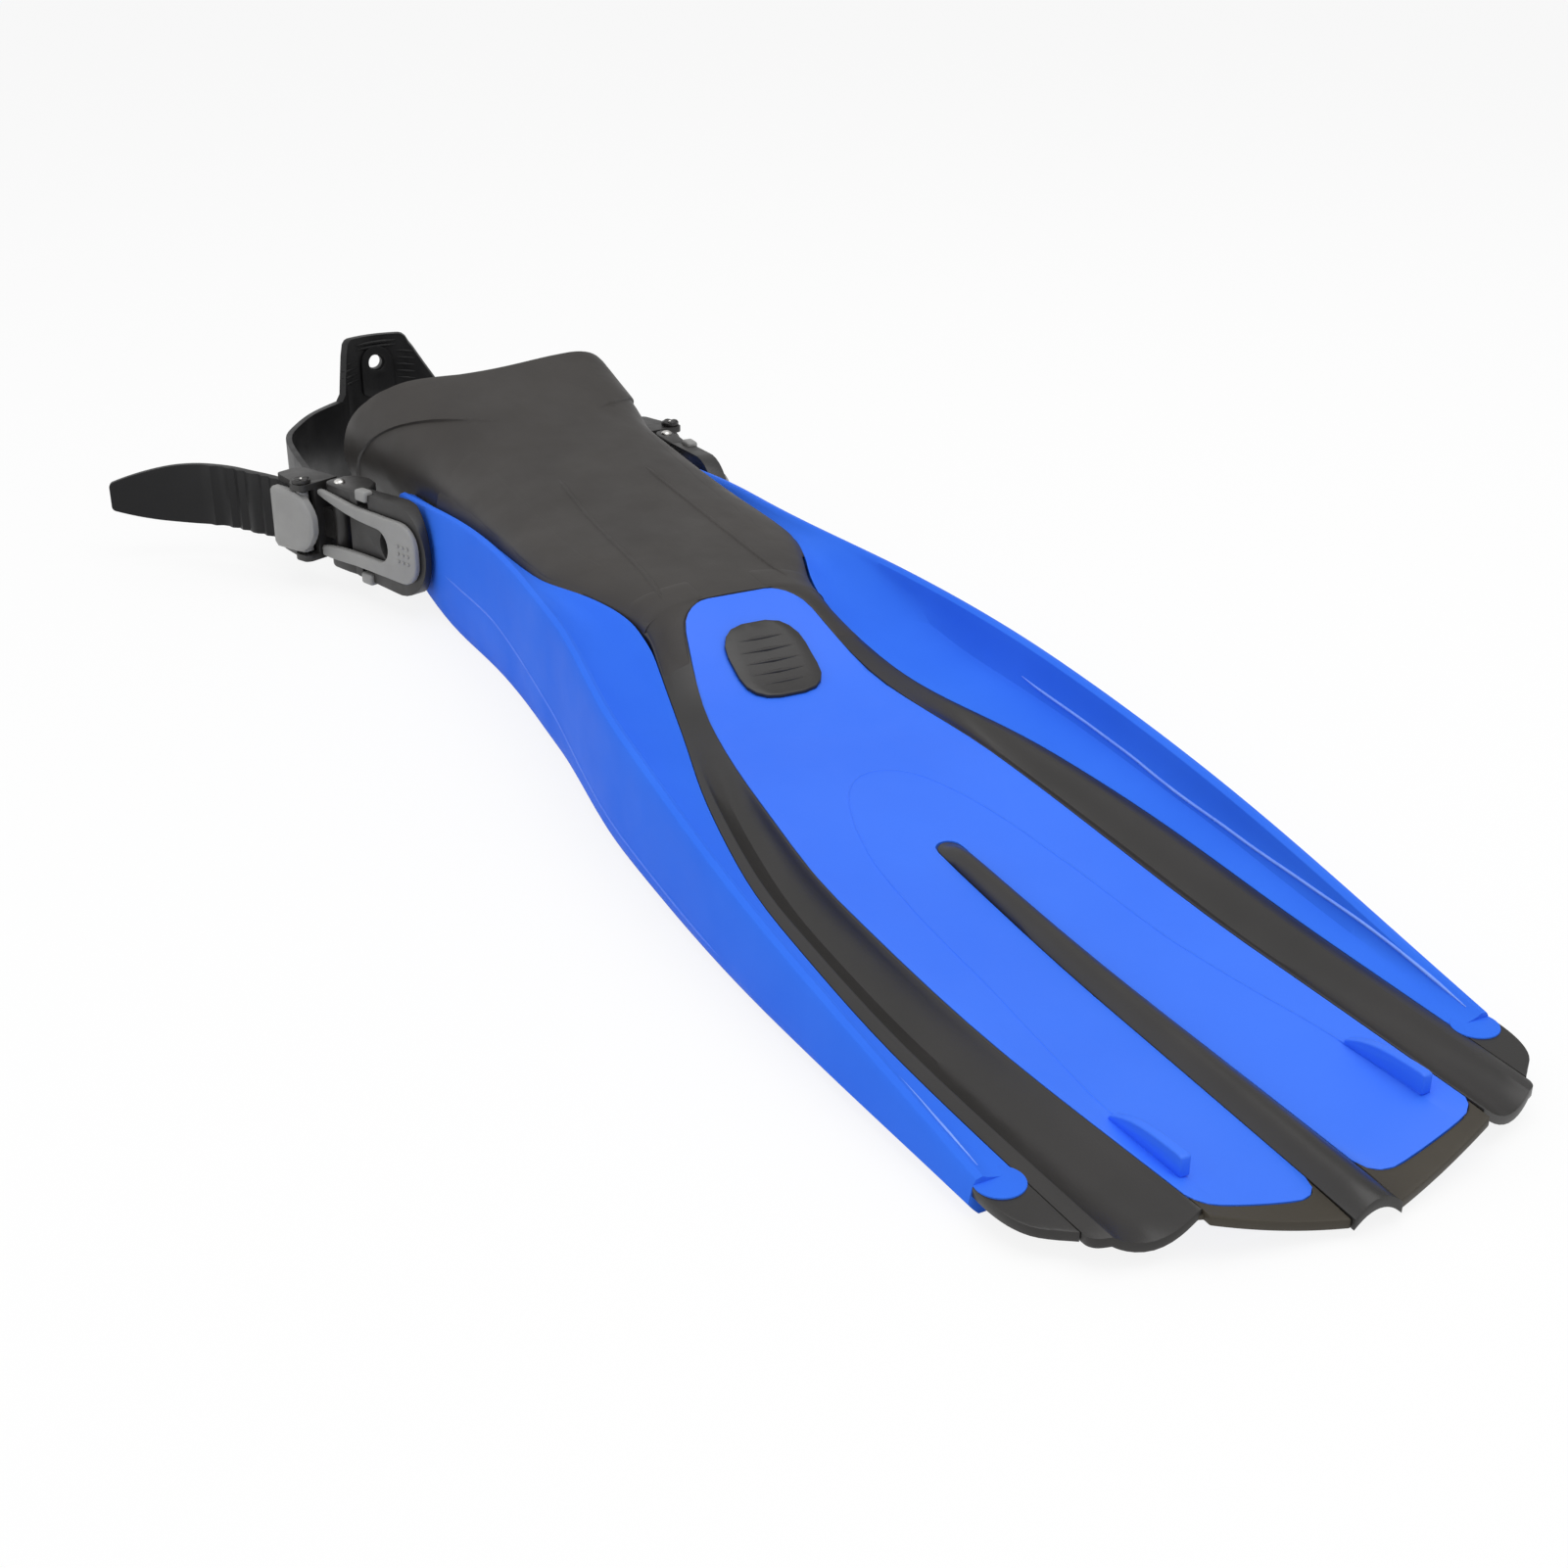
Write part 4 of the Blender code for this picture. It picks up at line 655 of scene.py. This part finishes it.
# %% Pocket skirts
def taut(heights):
    """The heights of a thread pulled tight over a row of heights."""
    count = len(heights)
    return [max(heights[a] + (heights[b] - heights[a]) * (j - a) / max(b - a, 1)
                for a in range(j + 1) for b in range(j, count)) for j in range(count)]


SKIRT_ROWS, SKIRT_COLUMNS = 31, 18
SKIRT_FROM, SKIRT_PITCH, SKIRT_STEP = -0.168, 0.005, 0.0012
SKIRT_PROUD, SKIRT_SCAN = 0.0005, 0.0005
for side, label in SIDES:
    lying = {"pocket": pocket, "rail": rails[label]}
    grid = []
    for i in range(SKIRT_ROWS):
        x = SKIRT_FROM + SKIRT_PITCH * i
        blue = [y * SKIRT_SCAN for y in range(60, 190)
                if highest(x, side * y * SKIRT_SCAN, lying)[1] == "rail"]
        brink = blue[0] + 0.0004
        marks = [brink - SKIRT_STEP * k for k in range(SKIRT_COLUMNS)]
        heights = taut([highest(x, side * y, lying)[0] for y in marks])
        grid.append([Vector((x, side * y, z)) for y, z in zip(marks[::-1], heights[::-1])])
    for _ in range(2):
        inner = [[Vector((b.x, (a.y + b.y * 2 + c.y) / 4, (a.z + b.z * 2 + c.z) / 4))
                  for a, b, c in zip(*rows)] for rows in zip(grid, grid[1:], grid[2:])]
        grid = [grid[0]] + inner + [grid[-1]]
    for i, row in enumerate(grid):
        for k, p in enumerate(row):
            p.z += SKIRT_PROUD * min(i, len(grid) - 1 - i, k, len(row) - 1 - k, 2) / 2 - SUNK
    add_on(sheet("pocket_skirt_" + label, grid, side), "foot_pocket", pocket_rubber)

# %% [markdown]
# Three fine lines are moulded in the blue: a parting line on the outside of each rail, a bead where
# the inside of the rail meets its web, and a faint arch on the panel. The parting line and the bead are
# coloured lighter than the rail as painted highlights. The arch keeps the panel's blue.

# %% Lines in the blue
OUTSIDE_Y = 0.09
PARTING = ((-0.140, 0.0262), (-0.106, 0.0257), (-0.078, 0.0258), (-0.012, 0.0197), (0.046, 0.0132),
           (0.110, 0.0092), (0.200, 0.0066))
RAIL_FOOT = ((0.100, 0.0826), (0.140, 0.0853), (0.167, 0.0868), (0.215, 0.0880), (0.261, 0.0882),
             (0.288, 0.0880), (0.315, 0.0875), (0.336, 0.0869))
HALF_ARCH = ((0.352, 0.041), (0.324, 0.0405), (0.294, 0.0370), (0.260, 0.0335), (0.215, 0.0320),
             (0.180, 0.0290), (0.158, 0.0240), (0.138, 0.0160), (0.128, 0.0060))
for side, label in SIDES:
    outside = [(x, side * OUTSIDE_Y, z) for x, z in PARTING]
    # The parting line is coloured lighter than the rail as a painted highlight.
    line = laid_rod("rail_parting_line_" + label, outside, radius=0.00055, target=rails[label],
                    along=(0.0, -side, 0.0), rise=-0.0002, step=0.006)
    add_on(line, "side_rail_" + label, line_blue)
    inside = [(x, side * y, 0.0) for x, y in RAIL_FOOT]
    # The bead is coloured pale blue as a painted highlight.
    bead = laid_rod("rail_foot_bead_" + label, inside, radius=0.0006, target=rails[label])
    add_on(bead, "side_rail_" + label, edge_blue)
arch = [(x, -y, 0.0) for x, y in HALF_ARCH] + [(x, y, 0.0) for x, y in HALF_ARCH[::-1]]
line = laid_rod("panel_arch_line", arch, radius=0.00045, target=panel, rise=-0.00022)
add_on(line, "blade_panel", blade_blue)

# %% [markdown]
# The web of each rail ends in a round tongue that lies on the side tip: a disc, extruded and rounded.
# Small discs of rubber also fill the round corners of the panel from below, as one moulding would.

# %% Tongues and corner fillings
OVERHEAD = 0.1
TONGUE_X, TONGUE_Y, TONGUE_Z = 0.3428, 0.0842, 0.0088
CORNERS = (("outer", 0.3785, 0.0470), ("inner", 0.3815, 0.0098))
CORNER_BACK, CORNER_DROP = 0.006, 0.0026


def thicken(piece, by):
    """Extrudes a flat piece by a vector to a closed plate."""
    bpy.ops.object.mode_set(mode="EDIT")
    bpy.ops.mesh.select_all(action="SELECT")
    bpy.ops.mesh.extrude_region_move(TRANSFORM_OT_translate={"value": tuple(by)})
    bpy.ops.object.mode_set(mode="OBJECT")
    turn_outward(piece)


def disc(name, centre, radius, thick, rounding, sides=40):
    """A round plate with soft edges, its lower face at the centre."""
    bpy.ops.object.select_all(action="DESELECT")
    bpy.ops.mesh.primitive_circle_add(vertices=sides, radius=radius, fill_type="NGON", location=centre)
    piece = bpy.context.object
    piece.name = piece.data.name = name
    bpy.ops.object.transform_apply(location=True, rotation=True, scale=True)
    thicken(piece, (0.0, 0.0, thick))
    round_edges(piece, rounding)
    return piece


for side, label in SIDES:
    tongue = disc("rail_end_tongue_" + label, (TONGUE_X, side * TONGUE_Y, TONGUE_Z), radius=0.0074,
                  thick=0.0011, rounding=0.0003)
    add_on(tongue, "side_rail_" + label, rail_blue)
    for place, x, y in CORNERS:
        spot, _ = landing(panel, (x - CORNER_BACK, side * y, OVERHEAD))
        filling = disc("tip_corner_%s_%s" % (place, label), (x, side * y, spot.z - CORNER_DROP),
                       radius=0.0042, thick=0.0014, rounding=0.0002, sides=24)
        add_on(filling, "tip_band_" + label, tip_rubber)

# %% [markdown]
# A small stabiliser fin stands near the tip of each lobe. The solid has a plain wedge there. The real
# crest is round, so its side view is drawn over the panel, extruded to a blade and rounded.

# %% Stabiliser fins
def plate(name, outline, thick):
    """A plate with an outline of points, extruded by a vector."""
    bpy.ops.object.select_all(action="DESELECT")
    bpy.ops.mesh.primitive_circle_add(vertices=len(outline), radius=0.01, fill_type="NGON")
    piece = bpy.context.object
    piece.name = piece.data.name = name
    for vert, point in zip(piece.data.vertices, outline):
        vert.co = point
    thicken(piece, thick)
    return piece


CREST = ((0.0, 0.0), (0.05, 0.9), (0.12, 1.9), (0.2, 2.9), (0.3, 3.8), (0.43, 4.6), (0.6, 5.1), (0.8, 5.3),
         (0.95, 5.3), (1.0, 4.9))
FIN_FROM, FIN_LONG, FIN_THICK, FIN_ROOT = 0.3345, 0.0323, 0.0034, 0.0015
FIN_Y, BESIDE_Y = 0.042, 0.048
for side, label in SIDES:
    feet = []
    for t, _ in CREST:
        spot, _ = landing(panel, (FIN_FROM + FIN_LONG * t, side * BESIDE_Y, OVERHEAD))
        feet.append(Vector((spot.x, side * (FIN_Y - FIN_THICK / 2), spot.z)))
    outline = [foot + Vector((0.0, 0.0, rise / 1000)) for foot, (_, rise) in zip(feet, CREST)]
    outline += [foot - Vector((0.0, 0.0, FIN_ROOT)) for foot in (feet[-1], feet[0])]
    blade = plate("stabiliser_fin_" + label, outline, Vector((0.0, side * FIN_THICK, 0.0)))
    round_edges(blade, 0.0006, angle=50.0, steps=3)
    add_on(blade, "blade_panel", blade_blue)

# %% [markdown]
# ## The toe pad
# A plain rubber pad lies in the panel above the toes. Its face gets a few raised ribs.

# %% Toe pad
pad = moulding("toe_inlay", "toe_pad")
round_edges(pad, 0.0004)
dress(pad, "toe_inlay", strip_rubber)
RIB_FROM, RIB_PITCH = 0.0410, 0.005
for i, reach in enumerate((0.0105, 0.0125, 0.0125, 0.0125, 0.0105)):
    x = RIB_FROM + RIB_PITCH * i
    ends = [(x, -reach, 0.0), (x, reach, 0.0)]
    rib = laid_rod("toe_pad_rib_%d" % (i + 1), ends, radius=0.0009, target=pad, rise=-0.0002)
    add_on(rib, "toe_inlay", strip_rubber)

# %% [markdown]
# ## The sole
# The sole plate carries the foot, and a rubber tread under it keeps a diver from slipping on a boat.
# The tread has cross grooves. Pairs of cuts mark them on its lower face, and the strips between
# the cuts of a pair are pushed up into the rubber, short of its edge.

# %% Sole
sole = moulding("sole_plate", "sole_plate_moulding")
round_edges(sole, 0.0008)
dress(sole, "sole_plate", rail_blue)
grip = moulding("sole_grip", "sole_tread", flat=True)
GROOVE_FROM, GROOVE_PITCH, GROOVE_WIDE, GROOVE_DEEP = -0.236, 0.012, 0.003, 0.0012
GROOVE_INNER, GROOVE_OUTER = 0.006, 0.044
grooves = [GROOVE_FROM + GROOVE_PITCH * i for i in range(20)]
bpy.ops.object.mode_set(mode="EDIT")
for x in grooves:
    for edge in (x, x + GROOVE_WIDE):
        pick_faces(lambda c, n: n.z < -0.9)
        bpy.ops.mesh.bisect(plane_co=(edge, 0.0, 0.0), plane_no=(1.0, 0.0, 0.0))
for y in (-GROOVE_OUTER, -GROOVE_INNER, GROOVE_INNER, GROOVE_OUTER):
    pick_faces(lambda c, n: n.z < -0.9)
    bpy.ops.mesh.bisect(plane_co=(0.0, y, 0.0), plane_no=(0.0, 1.0, 0.0))
pick_faces(lambda c, n: n.z < -0.9 and GROOVE_INNER < abs(c.y) < GROOVE_OUTER
           and any(x < c.x < x + GROOVE_WIDE for x in grooves))
bpy.ops.mesh.extrude_region_move(TRANSFORM_OT_translate={"value": (0.0, 0.0, GROOVE_DEEP)})
bpy.ops.object.mode_set(mode="OBJECT")
round_edges(grip, 0.0003)
dress(grip, "sole_grip", strip_rubber)

# %% [markdown]
# ## The strap
# The strap is one rubber moulding with ribs on its two tails and a pull tab over the heel. The copy
# keeps its ribs, its tab runs down to the band in a wider sweep at the left foot, and every edge is
# softened. The sweep is a line of heights along Y that the top edge is raised to.

# %% Strap
TAB_FOOT = ((-0.0010, 0.0757), (0.0030, 0.0712), (0.0085, 0.0614), (0.0140, 0.0515), (0.0200, 0.0474),
            (0.0260, 0.0470))
BAND_TOP, HEEL_END = 0.045, -0.36
CORE_X, CORE_SLOPE = -0.3843, 0.51
INNER_LAG = 0.0017
TAIL_TIPS = (Vector((-0.3032, -0.1798)), Vector((-0.3130, 0.0794)))
TAIL_ROUND = 0.0045


def foot_height(y):
    """The height of the sweep at a place along Y."""
    for (y0, z0), (y1, z1) in zip(TAB_FOOT, TAB_FOOT[1:]):
        if y0 <= y < y1:
            return z0 + (z1 - z0) * (y - y0) / (y1 - y0)
    return 0.0


def across_tip(a, b, tip):
    """Whether an edge runs through the thickness of the strap at the tip of a tail."""
    near = all((Vector((p.x, p.y)) - tip).length < 0.004 for p in (a, b))
    return near and abs(a.z - b.z) < 0.0004 and (a - b).length > 0.002


strap = moulding("heel_strap", "heel_strap_moulding")
raised = 0
for vert in strap.data.vertices:
    on_outer_face = vert.co.x < CORE_X + CORE_SLOPE * vert.co.y
    height = foot_height(vert.co.y + (0.0 if on_outer_face else INNER_LAG))
    if vert.co.x < HEEL_END and vert.co.z > BAND_TOP and height > vert.co.z:
        vert.co.z = height
        raised += 1
print("points of the tab's foot raised:", raised)
bpy.ops.object.mode_set(mode="EDIT")
for tip in TAIL_TIPS:
    found = pick_edges(lambda a, b, fold: across_tip(a, b, tip))
    bpy.ops.mesh.bevel(offset=TAIL_ROUND, segments=4, profile=0.5, clamp_overlap=True)
    print("tail corners:", found)
bpy.ops.object.mode_set(mode="OBJECT")
round_edges(strap, 0.0007, steps=3)
dress(strap, "heel_strap", strap_black)

# %% [markdown]
# The face of the tab has finger ribs beside and above an arched boss, with the eye in the boss. The
# boss starts as the circle of the eye. Its edge is extruded outwards and drawn down to an arch, which is
# laid on the tab by Shrinkwrap and thickened.

# %% Tab ribs
TAB_RIBS = (("right", (-0.0385, -0.0012), (-0.0290, 0.0), (0.0655, 0.0622, 0.0588, 0.0554)),
            ("left", (-0.0060, 0.0), (0.0030, -0.0010), (0.0685, 0.0648, 0.0611, 0.0574, 0.0537)),
            ("top", (-0.0290, 0.0), (-0.0060, 0.0006), (0.0735, 0.0712)))
for place, (y_from, rise_from), (y_to, rise_to), heights in TAB_RIBS:
    for i, z in enumerate(heights):
        ends = [(0.0, y_from, z + rise_from), (0.0, y_to, z + rise_to)]
        rib = laid_rod("tab_rib_%s_%d" % (place, i + 1), ends, radius=0.0010, target=strap,
                       along=(-1.0, 0.0, 0.0), start=0.37, rise=0.0001, step=0.002)
        add_on(rib, "heel_strap", strap_black)

# %% Tab boss
EYE, IN_FRONT = Vector((-0.387, -0.0175, 0.063)), Vector((0.006, 0.0, 0.0))
EYE_RADIUS, EYE_EDGE = 0.0046, 0.006
ARCH_SCALE, ARCH_FLARE, ARCH_HALF = 1.95, 1.4, 0.0092
LEG_LONG, LEG_BEND = 0.010, 0.004
BOSS_RISE, BOSS_THICK = 0.0009, 0.0012
bpy.ops.object.select_all(action="DESELECT")
bpy.ops.mesh.primitive_circle_add(vertices=48, radius=EYE_RADIUS, location=EYE + IN_FRONT,
                                  rotation=(0.0, math.pi / 2, 0.0))
boss = bpy.context.object
boss.name = boss.data.name = "tab_boss"
bpy.ops.object.transform_apply(location=True, rotation=True, scale=True)
bpy.ops.object.mode_set(mode="EDIT")
bpy.ops.mesh.select_all(action="SELECT")
bpy.ops.mesh.extrude_edges_move(TRANSFORM_OT_translate={"value": (0.0, 0.0, 0.0)})
bpy.ops.transform.resize(value=(1.0, ARCH_SCALE, ARCH_SCALE), center_override=EYE)
bpy.ops.object.mode_set(mode="OBJECT")
for vert in boss.data.vertices:
    off = vert.co - EYE
    if math.hypot(off.y, off.z) > EYE_EDGE and off.z < 0.0:
        vert.co.z -= LEG_LONG * min(1.0, -off.z / LEG_BEND)
        vert.co.y = EYE.y + math.copysign(min(ARCH_HALF, abs(off.y) * ARCH_FLARE), off.y)
bpy.ops.object.mode_set(mode="EDIT")
bpy.ops.mesh.select_all(action="SELECT")
bpy.ops.mesh.subdivide(number_cuts=2)
bpy.ops.mesh.normals_make_consistent(inside=False)
bpy.ops.object.mode_set(mode="OBJECT")
wrap = boss.modifiers.new("on_the_tab", "SHRINKWRAP")
wrap.target, wrap.wrap_method, wrap.offset = strap, "PROJECT", BOSS_RISE
wrap.use_project_x, wrap.use_negative_direction, wrap.use_positive_direction = True, True, True
thick = boss.modifiers.new("thick", "SOLIDIFY")
thick.thickness, thick.offset = BOSS_THICK, 0.0
apply_all(boss)
turn_outward(boss)
round_edges(boss, 0.0003, angle=50.0)
add_on(boss, "heel_strap", strap_black)

# %% [markdown]
# ## The buckles
# Each buckle is a black frame on a stud, a grey clip over it, two grey release buttons, a steel hinge
# pin, a black carrier for the strap and a grey lever. They are injection moulded, with soft edges.
# The lever's front is drawn in to a D, and its outer face is domed like a small pillow: it is inset
# three times, each time lifted less.

# %% Places on a buckle
TOE_OUT = {"left": 2.0, "right": 18.0}
TURN = {"left": -6.0, "right": 6.0}
STUD_X, STUD_Y, STUD_Z = -0.170, 0.0695, 0.0315
HINGE_BACK, HINGE_OUT = 0.047, 0.0075


def axes_of(label, angle):
    """The directions rearward and outward of a buckle that toes out by an angle."""
    side = 1 if label == "left" else -1
    turn = math.radians(angle)
    back = Vector((-math.cos(turn), side * math.sin(turn), 0.0))
    return back, Vector((math.sin(turn), side * math.cos(turn), 0.0))


def on_frame(label, s, n, z):
    """A point of a buckle frame, by its distance behind the stud, outward of it and above the floor."""
    back, out = axes_of(label, TOE_OUT[label])
    return Vector((STUD_X, STUD_Y if label == "left" else -STUD_Y, z)) + back * s + out * n


def on_carrier(label, s, n, z):
    """A point of a strap carrier, by its distance behind the hinge, outward of it and above the floor."""
    back, out = axes_of(label, TOE_OUT[label] + TURN[label])
    return on_frame(label, HINGE_BACK, HINGE_OUT, z) + back * s + out * n


# %% Buckle parts
LEVER_Z, D_FROM, D_LONG, D_PINCH = 0.033, 0.019, 0.014, 0.6
PILLOW = ((0.0008, 0.0006), (0.0009, 0.0004), (0.0010, 0.0002))


def shape_lever(lever, label):
    """Draws the front of a lever in to a D and domes its outer face."""
    back, out = axes_of(label, TOE_OUT[label] + TURN[label])
    hinge = on_carrier(label, 0.0, 0.0, LEVER_Z)
    for vert in lever.data.vertices:
        ahead = min(max((D_FROM - (vert.co - hinge).dot(back)) / D_LONG, 0.0), 1.0)
        vert.co.z = hinge.z + (vert.co.z - hinge.z) * math.sqrt(1.0 - D_PINCH * ahead * ahead)
    reach = max(v.co.dot(out) for v in lever.data.vertices)
    bpy.ops.object.mode_set(mode="EDIT")
    pick_faces(lambda c, n: n.dot(out) > 0.97 and c.dot(out) > reach - 0.0005)
    for width, lift in PILLOW:
        bpy.ops.mesh.inset(thickness=width, depth=lift)
    bpy.ops.object.mode_set(mode="OBJECT")


for label in ("left", "right"):
    for node, name, finish, width, steps in (
            ("buckle_stud_", "buckle_stud_cap_", buckle_black, 0.0004, 2),
            ("buckle_frame_", "buckle_frame_body_", buckle_black, 0.0012, 3),
            ("hinge_pin_", "hinge_pin_steel_", pin_steel, 0.0013, 4),
            ("strap_carrier_", "strap_carrier_body_", buckle_black, 0.0010, 3),
            ("lever_pin_", "lever_pin_cap_", buckle_black, 0.0004, 2),
            ("strap_lever_", "strap_lever_paddle_", clip_grey, 0.0008, 3),
            ("release_button_upper_", "release_button_top_", clip_grey, 0.0012, 3),
            ("release_button_lower_", "release_button_foot_", clip_grey, 0.0012, 3)):
        part = moulding(node + label, name + label, flat=True)
        if node == "strap_carrier_":
            round_corners(part, 0.0032, lambda a, b: 0.002 < (a - b).length < 0.005)
        if node == "strap_lever_":
            shape_lever(part, label)
        round_edges(part, width, steps=steps, angle=40.0)
        dress(part, node + label, finish)

# %% [markdown]
# The grey clip is a U whose arms spread towards the hinge, and whose upper arm thins to a tip. The
# solid is a plain U, so the cover is drawn again as an outline, extruded and rounded.

# %% Clip covers
def quarter(s, z, radius, angles):
    """Points on a quarter of a circle, in millimetres behind the stud and above it."""
    return [(s - radius * math.cos(math.radians(a)), z + radius * math.sin(math.radians(a))) for a in angles]


FRONT = quarter(-6.6, 2.9, 11.6, range(0, 91, 15))
SLOT = quarter(10.5, 0.0, 7.7, range(90, -1, -15))
UPPER_ARM = [(18.0, 14.5), (29.0, 14.7), (36.0, 15.4), (44.0, 16.3), (51.0, 16.9), (56.0, 17.0),
             (56.0, 14.5), (50.0, 12.8), (42.0, 11.0), (34.0, 9.5), (26.0, 8.5), (18.0, 8.0)]
LOWER_ARM = [(18.0, 14.5), (29.0, 14.6), (36.0, 15.0), (44.0, 15.4), (51.0, 15.6), (56.0, 15.4),
             (56.0, 10.6), (50.0, 9.4), (42.0, 8.5), (34.0, 8.0), (26.0, 7.8), (18.0, 7.7)]
upper = FRONT + UPPER_ARM + SLOT
lower = FRONT + LOWER_ARM + SLOT
CLIP = upper + [(s, -z) for s, z in lower[-2::-1]]
CLIP_OUT, CLIP_THICK = 0.01155, 0.0032
for label in ("left", "right"):
    out = axes_of(label, TOE_OUT[label])[1]
    outline = [on_frame(label, s / 1000, CLIP_OUT, STUD_Z + z / 1000) for s, z in CLIP]
    cover = plate("release_clip_cover_" + label, outline, out * CLIP_THICK)
    round_edges(cover, 0.0011, angle=40.0, steps=4)
    dress(cover, "release_clip_" + label, clip_grey)

# %% [markdown]
# A cover lies on each arm of the fork, over the hinge, like the deck of a small boat. Its plan is
# extruded and rounded. The steel of the pin shows as a dome on it.

# %% Hinge covers
DECK_REAR = ((54.5, 7.5), (53.6, 10.8), (50.0, 12.0), (40.0, 12.0), (31.0, 11.3), (29.6, 10.0))
DECK_FRONT = {"left": ((29.6, 4.0), (32.0, 3.0), (46.0, 3.0), (51.0, 3.4), (53.6, 4.8)),
              "right": ((29.6, 3.0), (32.0, -1.0), (36.0, -5.0), (41.0, -6.5), (47.0, -6.5), (52.0, -4.5),
                        (54.5, 0.0))}
DECK_RISE, DECK_THICK = 0.0145, 0.0062
for label in ("left", "right"):
    for place, up in (("upper", 1), ("lower", -1)):
        outline = [on_frame(label, s / 1000, n / 1000, STUD_Z + up * DECK_RISE)
                   for s, n in DECK_REAR + DECK_FRONT[label]]
        deck = plate("hinge_cover_%s_%s" % (place, label), outline, Vector((0.0, 0.0, up * DECK_THICK)))
        round_edges(deck, 0.0012, angle=50.0, steps=3)
        add_on(deck, "buckle_frame_" + label, buckle_black)

# %% [markdown]
# Small details make the buckles look real: nine grip dots on the front of each clip, the steel heads of
# the hinge, and on each lever cap a four-lobed rosette with a light dot in the middle. Each is a low
# dome, a sphere that is cut below its middle and flattened. Each size is modelled once and copied.

# %% Domes and copies
def dome(radius, height):
    """The model of a low round button at the origin, along Z."""
    bpy.ops.object.select_all(action="DESELECT")
    bpy.ops.mesh.primitive_uv_sphere_add(segments=20, ring_count=12, radius=radius)
    model = bpy.context.object
    bpy.ops.object.mode_set(mode="EDIT")
    bpy.ops.mesh.select_all(action="SELECT")
    bpy.ops.mesh.bisect(plane_co=(0.0, 0.0, -radius * 0.2), plane_no=(0.0, 0.0, 1.0), clear_inner=True,
                        use_fill=True)
    bpy.ops.mesh.select_all(action="SELECT")
    bpy.ops.transform.resize(value=(1.0, 1.0, height / radius), center_override=(0.0, 0.0, 0.0))
    bpy.ops.object.mode_set(mode="OBJECT")
    bpy.ops.object.shade_smooth_by_angle(angle=math.radians(50.0))
    return model


def copy_to(model, name, place, axis=(0.0, 0.0, 1.0)):
    """A copy of a model with its own mesh, turned to an axis and set on a place."""
    piece = model.copy()
    piece.data = model.data.copy()
    piece.name = piece.data.name = name
    bpy.context.scene.collection.objects.link(piece)
    pick_only(piece)
    piece.rotation_euler = Vector(axis).to_track_quat("Z", "Y").to_euler()
    piece.location = place
    bpy.ops.object.transform_apply(location=True, rotation=True, scale=True)
    return piece


def gather(pieces, name):
    """Joins pieces into one."""
    bpy.ops.object.select_all(action="DESELECT")
    for piece in pieces:
        piece.select_set(True)
    bpy.context.view_layer.objects.active = pieces[0]
    bpy.ops.object.join()
    pieces[0].name = pieces[0].data.name = name
    return pieces[0]


# %% Dots and rosettes
ROSETTE_SPREAD = 0.0024
HEAD_RISE = 0.0206
grip_dot = dome(radius=0.0008, height=0.0005)
cap_lobe = dome(radius=0.0019, height=0.0009)
cap_dot = dome(radius=0.0009, height=0.0009)
pin_head = dome(radius=0.0027, height=0.0017)
for label in ("left", "right"):
    out = axes_of(label, TOE_OUT[label])[1]
    dots = [copy_to(grip_dot, "grip_dot", on_frame(label, s, 0.0150, z), out)
            for s in (-0.0132, -0.0096, -0.0060) for z in (0.0279, 0.0315, 0.0351)]
    add_on(gather(dots, "clip_grip_dots_" + label), "release_clip_" + label, clip_grey)
    cap = on_carrier(label, 0.015, 0.0103, 0.0533)
    back, out = axes_of(label, TOE_OUT[label] + TURN[label])
    lobes = [copy_to(cap_lobe, "rosette_lobe", cap + (back * a + out * b) * ROSETTE_SPREAD)
             for a, b in ((1, 0), (0, 1), (-1, 0), (0, -1))]
    add_on(gather(lobes, "lever_pin_rosette_" + label), "lever_pin_" + label, buckle_black)
    add_on(copy_to(cap_dot, "lever_pin_dot_" + label, cap), "lever_pin_" + label, pin_steel)
    for place, up in (("upper", 1), ("lower", -1)):
        top = on_frame(label, HINGE_BACK, HINGE_OUT, STUD_Z + up * HEAD_RISE)
        head = copy_to(pin_head, "hinge_pin_dome_%s_%s" % (place, label), top, (0.0, 0.0, up))
        add_on(head, "hinge_pin_" + label, pin_steel)
for model in (grip_dot, cap_lobe, cap_dot, pin_head):
    bpy.data.objects.remove(model)
